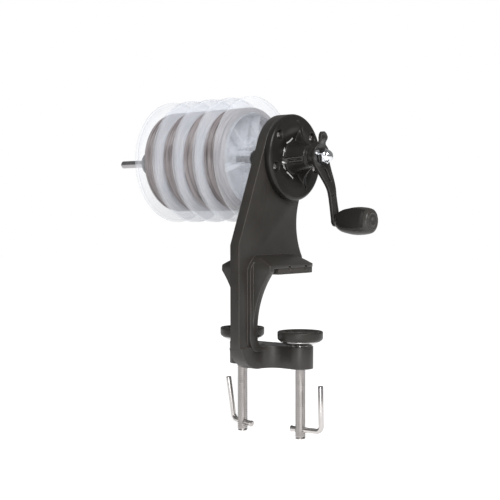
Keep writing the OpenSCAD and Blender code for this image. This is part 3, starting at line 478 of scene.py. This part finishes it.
coverScrew = {"headR": 2.5, "headH": 1.5, "cross": 2.9, "crossW": 0.6, "crossH": 1.6, "crossUp": 0.35}
s = coverScrew
screwHead = spun([
    (0, 0), (s["headR"], 0), (s["headR"], 0.7), (s["headR"] * 0.8, 1.25), (s["headR"] * 0.45, s["headH"]),
    (0, s["headH"] + 0.1)], 48)
for wide, deep in ((s["cross"], s["crossW"]), (s["crossW"], s["cross"])):
    bar = bmesh.new()
    place = Matrix.Translation((0, 0, s["headH"] + s["crossUp"]))
    bmesh.ops.create_cube(bar, size=1, matrix=place @ Matrix.Diagonal((wide, deep, s["crossH"], 1)))
    screwHead = combined(screwHead, bar, "DIFFERENCE")
heads = []
for a in cover["screwAngles"]:
    t = math.radians(a)
    heads.append(moved(turned(screwHead.copy(), t, "Z"), cover["screwR"] * math.cos(t),
                       cover["screwR"] * math.sin(t), cover["face"] - cover["recessDeep"]))
screwHead.free()
finishPiece("coverScrewHeads", onShaft(joined(*heads)), darkSteel, "frame", ["cover_screws"])
print("cover made")

arrows = {"lift": 0.06, "wide": 1.1, "headWide": 3.0, "headFrom": 0.55, "steps": 14}
# Each mark's start, end and bulge, and whether it has a head
arrows["marks"] = (
    ((-14.3, 0.5), (-12.5, 7.1), -0.06, True), ((-10.0, 10.2), (-2.5, 14.3), -0.06, False),
    ((-18.0, -4.0), (-11.3, -9.7), 0.06, True), ((-10.0, -11.1), (-2.5, -15.7), 0.06, False))


def arrowBand(points, width):
    bm = bmesh.new()
    rows = []
    for i, (u, v) in enumerate(points):
        (pu, pv), (nu, nv) = points[max(i - 1, 0)], points[min(i + 1, len(points) - 1)]
        du, dv = nu - pu, nv - pv
        length = math.hypot(du, dv)
        half = width[i] / 2
        acrossU, acrossV = -dv / length * half, du / length * half
        rows.append([bm.verts.new((u + acrossU * k, v + acrossV * k, 0)) for k in (-1, 1)])
    for (a, b), (c, d) in zip(rows, rows[1:]):
        bm.faces.new((a, b, d, c))
    return bm


def alongArc(a, b, bulge, count):
    (ua, va), (ub, vb) = a, b
    du, dv = ub - ua, vb - va
    return [(ua + du * t - dv * bulge * 4 * t * (1 - t), va + dv * t + du * bulge * 4 * t * (1 - t))
            for t in (i / count for i in range(count + 1))]


marks = []
for a, b, bulge, head in arrows["marks"]:
    count = arrows["steps"]
    points = alongArc(a, b, bulge, count)
    width = [arrows["wide"]] * (count + 1)
    if head:
        for i in range(count + 1):
            t = i / count
            past = (t - arrows["headFrom"]) / (1 - arrows["headFrom"])
            width[i] = arrows["wide"] if past < 0 else arrows["headWide"] * (1 - past) + 0.05
    marks.append(arrowBand(points, width))
bm = joined(*marks)
for vert in bm.verts:
    vert.co.z = cover["face"] + coverHeight(vert.co.x, vert.co.y) + arrows["lift"]
finishPiece("directionMarks", onShaft(bm), whitePrint, "frame")
print("marks made")

spool = {
    "start": 28.9, "pitch": 20.4, "gap": 0.1, "flangeR": 48.0, "flangeT": 1.2, "rimT": 2.0, "rimW": 1.6,
    "barrelR": 36.0, "barrelWall": 1.5, "hubR": 10.5, "boreR": 6.8, "webT": 1.4,
    "spokes": 6, "spokeT": 1.6, "spokeInset": 2.0, "edge": 0.3, "twist": 0.3}
winding = {
    "turns": 28, "lineD": 0.6, "pathR": 38.95, "coreR": 38.7, "coreEdge": 0.2, "steps": 72, "half": 8.55,
    "loose": 0.16, "phase": 1.7, "sway": 0.12, "crossTurns": 9, "crossLift": 0.28, "crossD": 0.8,
    "crossInset": 0.3, "crossLoose": 0.5, "crossPhase": 2.9}


def makeSpool():
    s = spool
    w = s["pitch"] - s["gap"]
    inner, rim, mid = s["barrelR"] - s["barrelWall"], s["flangeR"] - s["rimW"], w / 2
    half = s["webT"] / 2
    profile = [
        (s["boreR"], 0), (s["hubR"], 0), (s["hubR"], mid - half), (inner, mid - half), (inner, 0),
        (s["flangeR"], 0), (s["flangeR"], s["rimT"]), (rim, s["rimT"]), (rim, s["flangeT"]),
        (s["barrelR"], s["flangeT"]), (s["barrelR"], w - s["flangeT"]), (rim, w - s["flangeT"]),
        (rim, w - s["rimT"]), (s["flangeR"], w - s["rimT"]), (s["flangeR"], w), (inner, w),
        (inner, mid + half), (s["hubR"], mid + half), (s["hubR"], w), (s["boreR"], w)]
    body = softened(spun(profile, 128, closed=True), s["edge"], 2, 40)
    ribs = bmesh.new()
    length = inner - s["hubR"] + 0.6
    outwards = Matrix.Translation((s["hubR"] - 0.3 + length / 2, 0, mid))
    size = Matrix.Diagonal((length, s["spokeT"], w - 2 * s["spokeInset"], 1))
    for k in range(s["spokes"]):
        turn = Matrix.Rotation(k * 2 * math.pi / s["spokes"], 4, "Z")
        bmesh.ops.create_cube(ribs, size=1, matrix=turn @ outwards @ size)
    return combined(body, ribs, "UNION")


# One tube wound from flange to flange, pushed a little off its even pitch
def windingTube(turns, pathR, lineD, half, phase, loose, seed):
    rand = random.Random(seed)
    bm = bmesh.new()
    bmesh.ops.create_circle(bm, cap_ends=False, segments=6, radius=lineD / 2)
    moved(turned(bm, math.pi / 2, "X"), pathR, 0, -half)
    steps = winding["steps"] * turns
    bmesh.ops.spin(bm, geom=list(bm.verts) + list(bm.edges), cent=(0, 0, 0), axis=(0, 0, 1),
                   angle=2 * math.pi * turns, steps=steps, dvec=(0, 0, 2 * half / steps), use_duplicate=False)
    offsets = [rand.uniform(-loose, loose) for _ in range(turns + 3)]
    for vert in bm.verts:
        a = math.atan2(vert.co.y, vert.co.x) % (2 * math.pi) / (2 * math.pi)
        along = (vert.co.z + half) / (2 * half) * turns - a
        k = max(0, min(turns, int(round(along))))
        push = offsets[k] * (1 - a) + offsets[k + 1] * a
        vert.co.z += push * (1 - abs(vert.co.z) / (half + 0.01))
        lift = winding["sway"] * loose * math.sin(7 * a * 2 * math.pi + k)
        vert.co.x *= 1 + lift / pathR
        vert.co.y *= 1 + lift / pathR
    turned(bm, phase, "Z")
    bmesh.ops.holes_fill(bm, edges=[e for e in bm.edges if e.is_boundary], sides=8)
    bmesh.ops.recalc_face_normals(bm, faces=bm.faces)
    return bm


clearMoulding = makeSpool()
for i in range(1, 5):
    near = -spool["start"] - i * spool["pitch"] + spool["gap"] / 2
    centre = near + (spool["pitch"] - spool["gap"]) / 2
    moulding = onShaft(turned(clearMoulding.copy(), spool["twist"] * i, "Z"), near)
    finishPiece("clearSpool%d" % i, moulding, clearSpool, "spool_shaft",
                ["spool_%d" % i, "spool_flanges_%d" % i], smooth=30)
    w, e = winding, winding["coreEdge"]
    core = spun([(spool["barrelR"] + 0.02, -w["half"] - e), (w["coreR"] - e, -w["half"] - e),
                 (w["coreR"], -w["half"]), (w["coreR"], w["half"]), (w["coreR"] - e, w["half"] + e),
                 (spool["barrelR"] + 0.02, w["half"] + e)], 96, closed=True)
    finishPiece("lineCore%d" % i, onShaft(core, centre), woundLine, "spool_shaft", ["line_core_%d" % i])
    outer = windingTube(w["turns"], w["pathR"], w["lineD"], w["half"], w["phase"] * i, w["loose"], seed=40 + i)
    cross = windingTube(w["crossTurns"], w["pathR"] + w["crossLift"], w["lineD"] * w["crossD"],
                        w["half"] - w["crossInset"], w["crossPhase"] * i, w["crossLoose"], seed=80 + i)
    finishPiece("lineTurns%d" % i, onShaft(joined(outer, cross), centre), woundLine, "spool_shaft",
                ["line_turns_%d" % i], smooth=70)
clearMoulding.free()
print("spools made")

arm = {
    "face": 32.6, "thick": 2.8, "offset": 5.8, "midR": 10.0, "throw": 48.5, "endR": 4.2, "rim": 1.2,
    "sink": 0.6, "step": 0.5, "edge": 0.4, "cuts": (-58, 22), "cutShift": 0.37,
    "hubX": 24.2, "hub": ((0, 0), (7.0, 0), (7.0, 3.8), (6.4, 5.7), (0, 5.7)),
    "slotY": 0.7, "slotZ": (-18.3, -10.3), "slotR": 1.3, "hole": (0.2, -29.5, 1.0)}
armShoulder = [(4.6, 9.6), (6.3, 7.8)]
armSide = [
    (8.9, -5.6), (8.0, -7.9), (7.1, -11.6), (6.2, -15.4), (5.3, -19.2), (4.5, -22.9), (4.0, -26.6),
    (3.7, -30.4), (3.8, -37.9), (4.1, -44.5)]
armLobe = [
    (-4.1, 11.0), (-3.9, 14.4), (-2.7, 16.8), (-0.6, 18.3), (1.7, 18.0), (3.5, 16.4), (4.7, 13.7),
    (4.3, 11.0)]


def arcPoints(wide, high, middle, degrees):
    return [(wide * math.cos(t), middle + high * math.sin(t)) for t in map(math.radians, degrees)]


# How far the arm's two ends stand out from its middle
def armBend(z):
    up = easeStep(6.5, 13, z) * 0.7 * arm["offset"]
    down = easeStep(-2, -27, z) * easeStep(-4.5, -9, z) * arm["offset"]
    return up + down


def armOutline():
    a = arm
    right = armShoulder + arcPoints(a["midR"], a["midR"], 0, range(40, -21, -10)) + armSide
    end = arcPoints(a["endR"], a["endR"], -a["throw"], range(0, -181, -20))
    return right + end + [(-y, z) for y, z in reversed(right)] + armLobe


def makeArm():
    a = arm
    bm = bmesh.new()
    verts = [bm.verts.new((a["face"] - a["thick"], y, z)) for y, z in armOutline()]
    face = bm.faces.new(verts)
    grown = bmesh.ops.extrude_face_region(bm, geom=[face])
    top = [v for v in grown["geom"] if isinstance(v, bmesh.types.BMVert)]
    bmesh.ops.translate(bm, verts=top, vec=(a["thick"], 0, 0))
    bmesh.ops.recalc_face_normals(bm, faces=bm.faces)
    front = max(bm.faces, key=lambda f: f.calc_center_median().x)
    bmesh.ops.inset_region(bm, faces=[front], thickness=a["rim"], depth=0, use_even_offset=True)
    front = max((f for f in bm.faces if f.normal.x > 0.9), key=lambda f: f.calc_area())
    bmesh.ops.inset_region(bm, faces=[front], thickness=a["step"], depth=-a["sink"], use_even_offset=True)
    softened(bm, a["edge"], 2, 35)
    for step in range(*a["cuts"]):
        bmesh.ops.bisect_plane(bm, geom=list(bm.verts) + list(bm.edges) + list(bm.faces), dist=1e-5,
                               plane_co=(0, 0, step + a["cutShift"]), plane_no=(0, 0, 1))
    hub = spun(a["hub"], 64)
    hub.transform(Matrix(((0, 0, 1, a["hubX"]), (1, 0, 0, 0), (0, 1, 0, 0), (0, 0, 0, 1))))
    slot = bmesh.new()
    low, high = a["slotZ"]
    sideways = Matrix.Rotation(math.pi / 2, 4, "Y")
    for y, z, r in ((a["slotY"], high, a["slotR"]), (a["slotY"], low, a["slotR"]), a["hole"]):
        bmesh.ops.create_cone(slot, cap_ends=True, segments=24, radius1=r, radius2=r, depth=20,
                              matrix=Matrix.Translation((a["face"], y, z)) @ sideways)
    box = bmesh.new()
    middle = Matrix.Translation((a["face"], a["slotY"], (low + high) / 2))
    bmesh.ops.create_cube(box, size=1, matrix=middle @ Matrix.Diagonal((18, 2 * a["slotR"], high - low, 1)))
    bm = combined(bm, slot, "DIFFERENCE")
    bm = combined(bm, box, "DIFFERENCE")
    for vert in bm.verts:
        vert.co.x += armBend(vert.co.z)
    return joined(bm, hub)


finishPiece("crankArm", onCrank(makeArm()), crankBlack, "crank", ["crank_arm"], smooth=40)

acorn = {
    "r": 5.8, "h": 4.2, "domeR": 4.6, "domeZ": 4.6, "domeH": 3.9, "tip": 8.5, "edge": 0.2,
    "trim": ((0, -0.5), (5.3, -0.5), (5.3, 0.0), (5.9, 0.5), (5.9, 3.7), (5.1, 4.2), (5.1, 4.6), (0, 4.6)),
    "collar": ((4.5, 3.6), (4.9, 4.2), (4.9, 4.7), (4.6, 5.0))}


def hexNut():
    n = acorn
    body = bmesh.new()
    bmesh.ops.create_cone(body, cap_ends=True, segments=6, radius1=n["r"], radius2=n["r"], depth=n["h"],
                          matrix=Matrix.Translation((0, 0, n["h"] / 2)))
    body = softened(combined(body, spun(n["trim"], 64), "INTERSECT"), n["edge"], 2, 35)
    dome = arcPoints(n["domeR"], n["domeH"], n["domeZ"], range(8, 91, 8))
    return joined(body, spun([*n["collar"], *dome, (0, n["tip"])], 64))


nut = hexNut()
nut.transform(Matrix(((0, 0, 1, arm["face"]), (1, 0, 0, 0), (0, 1, 0, 0), (0, 0, 0, 1))))
finishPiece("acornNut", onCrank(nut), chrome, "crank", ["acorn_nut"], smooth=30)

lock = {
    "r": 2.1, "y": -6.2, "z": 4.1, "stemR": 1.2, "deep": 2.6, "top": 1.9, "groove": (6, 0.6, 1.2),
    "turn": 0.6}
head = spun([
    (0, -lock["deep"]), (lock["stemR"], -lock["deep"]), (lock["stemR"], 0), (lock["r"], 0), (lock["r"], 1.0),
    (lock["r"] - 0.25, 1.45), (lock["stemR"], 1.8), (0, lock["top"])], 48)
groove = bmesh.new()
place = Matrix.Translation((0, 0, lock["top"]))
bmesh.ops.create_cube(groove, size=1, matrix=place @ Matrix.Diagonal((*lock["groove"], 1)))
head = turned(combined(head, groove, "DIFFERENCE"), lock["turn"], "Z")
head.transform(Matrix(((0, 0, 1, arm["face"]), (1, 0, 0, lock["y"]), (0, 1, 0, lock["z"]), (0, 0, 0, 1))))
finishPiece("lockScrew", onCrank(head), chrome, "crank", ["lock_screw"], smooth=30)
print("crank made")

knob = {
    "x": 39.0, "len": 30.0, "r": 10.3, "flat": 0.92, "turn": math.radians(-15), "capR": 7.0, "capDeep": 1.0,
    "gripHalf": math.radians(47), "gripLong": 0.39, "gripDeep": 0.5, "gripRise": 0.95, "gripWall": 0.8}
# Share of the length from the arm outwards, and share of the radius there
knobProfile = [
    (0.0, 0.45), (0.02, 0.53), (0.05, 0.61), (0.1, 0.71), (0.16, 0.79), (0.23, 0.845), (0.3, 0.89),
    (0.38, 0.935), (0.45, 0.97), (0.53, 0.99), (0.6, 1.0), (0.68, 0.995), (0.75, 0.98), (0.82, 0.96),
    (0.88, 0.93), (0.93, 0.895), (0.97, 0.85), (0.99, 0.8), (1.0, 0.74)]


def knobPlaced(bm):
    bm.transform(Matrix(((0, 0, 1, knob["x"]), (1, 0, 0, 0), (0, 1, 0, 0), (0, 0, 0, 1))))
    turned(bm, knob["turn"], "X")
    at = Matrix.Rotation(crankTurn, 3, "X") @ Vector((0, 0, -arm["throw"]))
    return moved(bm, 0, shaftPlace["y"] + at.y, shaftPlace["z"] + at.z)


def knobRadius(t):
    for (a, ra), (b, rb) in zip(knobProfile, knobProfile[1:]):
        if t <= b:
            return (ra + (rb - ra) * (t - a) / (b - a)) * knob["r"]
    return knobProfile[-1][1] * knob["r"]


def makeKnobBody():
    k = knob
    profile = [(3.1, 0.3), (4.6, 0)] + [(r * k["r"], t * k["len"]) for t, r in knobProfile]
    profile += [(k["capR"] + 0.1, k["len"]), (k["capR"] + 0.1, k["len"] - k["capDeep"]),
                (0, k["len"] - k["capDeep"])]
    bm = spun(profile, 96)
    for vert in bm.verts:
        r = math.hypot(vert.co.x, vert.co.y)
        if r > 6:
            vert.co.x *= k["flat"] + (1 - k["flat"]) * (1 - easeStep(6, 9, r))
    return bm


def makeGrip(side):
    k = knob
    bm = bmesh.new()
    bmesh.ops.create_grid(bm, x_segments=28, y_segments=40, size=1)
    for vert in bm.verts:
        s, t = vert.co.x, vert.co.y
        along = 0.5 + t * k["gripLong"]
        angle = s * k["gripHalf"] * (1 - 0.12 * t * t)
        edge = easeStep(1.0, 0.86, (abs(s) ** 5 + abs(t) ** 5) ** 0.2)
        r = knobRadius(along) + (-k["gripDeep"] + k["gripRise"] * edge)
        vert.co = Vector((side * r * math.cos(angle) * k["flat"], r * math.sin(angle), along * k["len"]))
    bmesh.ops.recalc_face_normals(bm, faces=bm.faces)
    bmesh.ops.solidify(bm, geom=list(bm.faces), thickness=k["gripWall"])
    bmesh.ops.recalc_face_normals(bm, faces=bm.faces)
    return bm


finishPiece("knobBody", knobPlaced(makeKnobBody()), knobBlack, "knob", ["knob"], smooth=40)
finishPiece("knobGrips", knobPlaced(joined(makeGrip(1), makeGrip(-1))), gripRubber, "knob",
            ["knob_grips"], smooth=50)
capProfile = [
    (0, 0.1), (2.2, 0.1), (2.6, 0.32), (3.2, 0.32), (3.6, 0.1), (5.4, 0.1), (5.8, 0.38), (6.6, 0.38),
    (6.95, 0.2), (6.95, -1.0), (4, -1.0), (4, -3), (0, -3)]
finishPiece("knobCap", knobPlaced(moved(spun(capProfile, 72), 0, 0, knob["len"])), knobBlack, "knob",
            ["knob_cap"], smooth=30)
print("knob made")

clamp = {
    "x": 26.8, "padTop": -41.4, "padH": 7.8, "padR": 16.5, "cupH": 1.7, "notches": 12, "notchDeep": 0.9,
    "screwR": 3.97, "pitch": 1.411, "threadDeep": 0.72, "threadSteps": 24, "top": -51.2, "end": -119.7,
    "journalR": 3.0, "journalTop": -44.5, "crossZ": -112.7, "barR": 2.0, "bendR": 4.0, "bendSteps": 10,
    "shank": 25.1, "leg": 33.0, "tail": 6.2, "headR": 2.5, "headLen": 1.4, "edge": 0.35}
# Points of the thread: on the crest or not, and the place along the pitch
clamp["thread"] = ((False, -0.12), (False, 0.06), (True, 0.40), (True, 0.54), (False, 0.88))
# Each side's sign, and its bar's direction, slide and lean
clamp["sides"] = (("left", -1, 159.8, 5.2, 8.6), ("right", 1, 5.6, 0, -2.3))


def makePad():
    c = clamp
    top, bottom, r = c["padTop"], c["padTop"] - c["padH"], c["padR"]
    profile = [(3.2, bottom + 0.9), (r - 1.9, bottom + 0.9), (r - 0.9, bottom + 1.4),
               (r - 0.25, bottom + 2.2), (r, bottom + 3.2)]
    profile += [(r, bottom + 3.2 + (c["padH"] - 4.0) * k / 3) for k in (1, 2)]
    profile += [(r, top - 0.8), (r - 0.15, top - 0.35), (r - 0.6, top), (r - 1.2, top), (r - 1.8, top),
                (r - 2.4, top), (r - 3.0, top - 0.35), (r - 3.6, top - 0.8), (r - 4.4, top - 1.25),
                (r - 5.6, top - 1.4), (5.4, top - 1.4), (5.3, top - 3.4), (3.2, top - 3.5)]
    bm = spun(profile, 144, closed=True)
    for vert in bm.verts:
        far = math.hypot(vert.co.x, vert.co.y)
        if vert.co.z > top - 1.3 and r - 4.5 < far < r - 0.9:
            wave = math.cos(c["notches"] * math.atan2(vert.co.y, vert.co.x))
            dip = easeStep(0.35, 0.95, wave) * easeStep(r - 0.9, r - 2.2, far)
            vert.co.z -= dip * c["notchDeep"]
    return bm


# The bright cup reaches up round the pad's lower edge
def makeCup():
    c = clamp
    bottom, r = c["padTop"] - c["padH"], c["padR"]
    base = bottom - c["cupH"]
    return spun([(3.1, base), (r - 6.2, base), (r - 5.4, base + 0.25), (r - 2.8, bottom - 0.1),
                 (r - 1.8, bottom + 0.5), (r - 1.8, bottom + 0.85), (3.1, bottom + 0.85)], 96, closed=True)


def makeScrew():
    c = clamp
    core, crest, p = c["screwR"] - c["threadDeep"], c["screwR"] - 0.02, c["pitch"]
    bm = bmesh.new()
    start = c["end"] + 0.8
    verts = [bm.verts.new((crest if high else core, 0, start + z * p)) for high, z in c["thread"]]
    edges = [bm.edges.new(pair) for pair in zip(verts, verts[1:])]
    turns = int((c["top"] - start) / p) - 1
    bmesh.ops.spin(bm, geom=verts + edges, cent=(0, 0, 0), axis=(0, 0, 1), angle=2 * math.pi * turns,
                   steps=c["threadSteps"] * turns, dvec=(0, 0, p / c["threadSteps"]), use_duplicate=False)
    bmesh.ops.remove_doubles(bm, verts=bm.verts, dist=0.01)
    bmesh.ops.recalc_face_normals(bm, faces=bm.faces)
    end, top, neck = c["end"], c["top"], core - 0.05
    ends = spun([(0, end), (core - 0.2, end), (core + 0.35, end + 0.5), (core + 0.35, end + 0.9),
                 (neck, end + 1.4), (neck, top - 2.4), (core + 0.6, top - 1.8), (core + 0.6, top),
                 (c["journalR"], top), (c["journalR"], c["journalTop"]), (0, c["journalTop"])], 48)
    return joined(bm, ends)


def makeBar(direction, slid, lean):
    c = clamp
    bm = bmesh.new()
    reach = c["shank"] - c["tail"] - c["headLen"] - slid
    place = Matrix.Translation((-c["tail"] - slid - c["headLen"], 0, 0)) @ Matrix.Rotation(math.pi / 2, 4, "Y")
    bmesh.ops.create_circle(bm, cap_ends=False, segments=24, radius=c["headR"], matrix=place)
    ring = {"verts": list(bm.verts), "edges": list(bm.edges)}

    def stretch(x, z=0, size=1.0):
        geom = bmesh.ops.extrude_edge_only(bm, edges=ring["edges"])["geom"]
        ring["verts"] = [v for v in geom if isinstance(v, bmesh.types.BMVert)]
        edges = [e for e in geom if isinstance(e, bmesh.types.BMEdge)]
        ring["edges"] = [e for e in edges if all(v in ring["verts"] for v in e.verts)]
        bmesh.ops.scale(bm, verts=ring["verts"], vec=(1, size, size))
        bmesh.ops.translate(bm, verts=ring["verts"], vec=(x, 0, z))

    stretch(c["headLen"], size=c["barR"] / c["headR"])
    stretch(c["tail"] + slid)
    stretch(reach - c["bendR"])
    bend = (reach - c["bendR"], 0, c["bendR"])
    last = bmesh.ops.spin(bm, geom=ring["verts"] + ring["edges"], cent=bend, axis=(0, 1, 0),
                          angle=-math.pi / 2, steps=c["bendSteps"], use_duplicate=False)["geom_last"]
    ring["verts"] = [v for v in last if isinstance(v, bmesh.types.BMVert)]
    ring["edges"] = [e for e in last if isinstance(e, bmesh.types.BMEdge)]
    stretch(0, c["leg"] - c["bendR"])
    bmesh.ops.holes_fill(bm, edges=[e for e in bm.edges if e.is_boundary], sides=30)
    bmesh.ops.recalc_face_normals(bm, faces=bm.faces)
    softened(bm, c["edge"], 2, 60)
    turned(bm, math.radians(-lean), "X")
    return turned(bm, math.radians(direction), "Z")


for side, sign, direction, slid, lean in clamp["sides"]:
    x = sign * clamp["x"]
    name = side.capitalize()
    finishPiece("clampPad" + name, moved(makePad(), x), clampBlack, "clamp_pad_" + side,
                ["clamp_pad_" + side], smooth=40)
    finishPiece("clampCup" + name, moved(makeCup(), x), cupSteel, "clamp_pad_" + side,
                ["clamp_cup_" + side], smooth=50)
    finishPiece("clampScrew" + name, moved(makeScrew(), x), zincSteel, "clamp_screw_" + side,
                ["clamp_screw_" + side], smooth=40)
    bar = moved(makeBar(direction, slid, lean), x, 0, clamp["crossZ"])
    finishPiece("clampBar" + name, bar, zincSteel, "clamp_bar_" + side,
                ["clamp_bar_" + side], smooth=45)
print("clamp made")

stageSet = {"floorZ": -0.1197, "floorSize": 6.0, "floorGlow": 0.8, "worldLight": 0.27}

floorMesh = bmesh.new()
bmesh.ops.create_grid(floorMesh, x_segments=1, y_segments=1, size=stageSet["floorSize"] / 2)
bmesh.ops.translate(floorMesh, verts=floorMesh.verts, vec=(0, 0, stageSet["floorZ"]))
mesh = bpy.data.meshes.new("floor")
floorMesh.to_mesh(mesh)
floorMesh.free()
floor = bpy.data.objects.new("floor", mesh)
bpy.context.scene.collection.objects.link(floor)
material, tree, principled = newMaterial("floorWhite", Roughness=0.8)
path = addNode(tree, "ShaderNodeLightPath")
noise = addNode(tree, "ShaderNodeTexNoise", Scale=3.0)
white = mixColours(tree, (0.89,) * 3, (0.91,) * 3, noise.outputs["Fac"])
tree.links.new(white, principled.inputs["Base Color"])
principled.inputs["Emission Color"].default_value = (1, 1, 1, 1)
clearRay = addNode(tree, "ShaderNodeMath", operation="MAXIMUM")
tree.links.new(path.outputs["Is Camera Ray"], clearRay.inputs[0])
tree.links.new(path.outputs["Is Glossy Ray"], clearRay.inputs[1])
glow = addNode(tree, "ShaderNodeMath", operation="MULTIPLY")
glow.inputs[1].default_value = stageSet["floorGlow"]
tree.links.new(clearRay.outputs[0], glow.inputs[0])
tree.links.new(glow.outputs[0], principled.inputs["Emission Strength"])
floor.data.materials.append(material)

world = bpy.data.worlds.new("studio")
bpy.context.scene.world = world
world.use_nodes = True
tree = world.node_tree
background = tree.nodes["Background"]
background.inputs["Color"].default_value = (1, 1, 1, 1)
path = addNode(tree, "ShaderNodeLightPath")
seen = addNode(tree, "ShaderNodeMath", operation="MAXIMUM")
level = addNode(tree, "ShaderNodeMapRange")
level.inputs["To Min"].default_value = stageSet["worldLight"]
level.inputs["To Max"].default_value = 1.0
tree.links.new(path.outputs["Is Camera Ray"], seen.inputs[0])
tree.links.new(path.outputs["Is Transmission Ray"], seen.inputs[1])
tree.links.new(seen.outputs[0], level.inputs["Value"])
tree.links.new(level.outputs["Result"], background.inputs["Strength"])


def addLamp(name, place, aim, size, power):
    data = bpy.data.lights.new(name, "AREA")
    data.shape, data.size, data.energy = "DISK", size, power
    lamp = bpy.data.objects.new(name, data)
    lamp.location = place
    lamp.rotation_mode = "QUATERNION"
    lamp.rotation_quaternion = (Vector(aim) - Vector(place)).to_track_quat("-Z", "Y")
    bpy.context.scene.collection.objects.link(lamp)


addLamp("keyLamp", place=(0.6, -0.42, 0.62), aim=(0, 0, 0.05), size=0.5, power=7)
addLamp("fillLamp", place=(0.5, -0.85, 0.0), aim=(0, 0, 0.0), size=0.4, power=2.6)

# Lens, turn, height, roll and place come from fitting the photograph's outlines
view = {
    "lens": 79.082, "azimuth": 38.403, "elevation": 1.681, "roll": -0.0907, "away": 821.499,
    "right": -27.122, "up": -68.909}
turn, tilt, roll = (math.radians(view[k]) for k in ("azimuth", "elevation", "roll"))
back = Vector((math.sin(turn) * math.cos(tilt), -math.cos(turn) * math.cos(tilt), math.sin(tilt)))
right = Vector((math.cos(turn), math.sin(turn), 0))
up = back.cross(right)
right, up = math.cos(roll) * right + math.sin(roll) * up, math.cos(roll) * up - math.sin(roll) * right
place = back * view["away"] + right * view["right"] + up * view["up"]
place = (place + Vector((0, shaftPlace["y"], shaftPlace["z"]))) * unit
data = bpy.data.cameras.new("camera")
data.lens, data.sensor_width, data.clip_start, data.clip_end = view["lens"], 36.0, 0.01, 50.0
camera = bpy.data.objects.new("camera", data)
camera.matrix_world = Matrix((
    (right.x, up.x, back.x, place.x), (right.y, up.y, back.y, place.y), (right.z, up.z, back.z, place.z),
    (0, 0, 0, 1)))
bpy.context.scene.collection.objects.link(camera)
bpy.context.scene.camera = camera
bpy.context.scene.view_settings.view_transform = "Standard"
bpy.context.scene.cycles.transparent_max_bounces = 48  # sight passes through four clear spools
print("stage set")
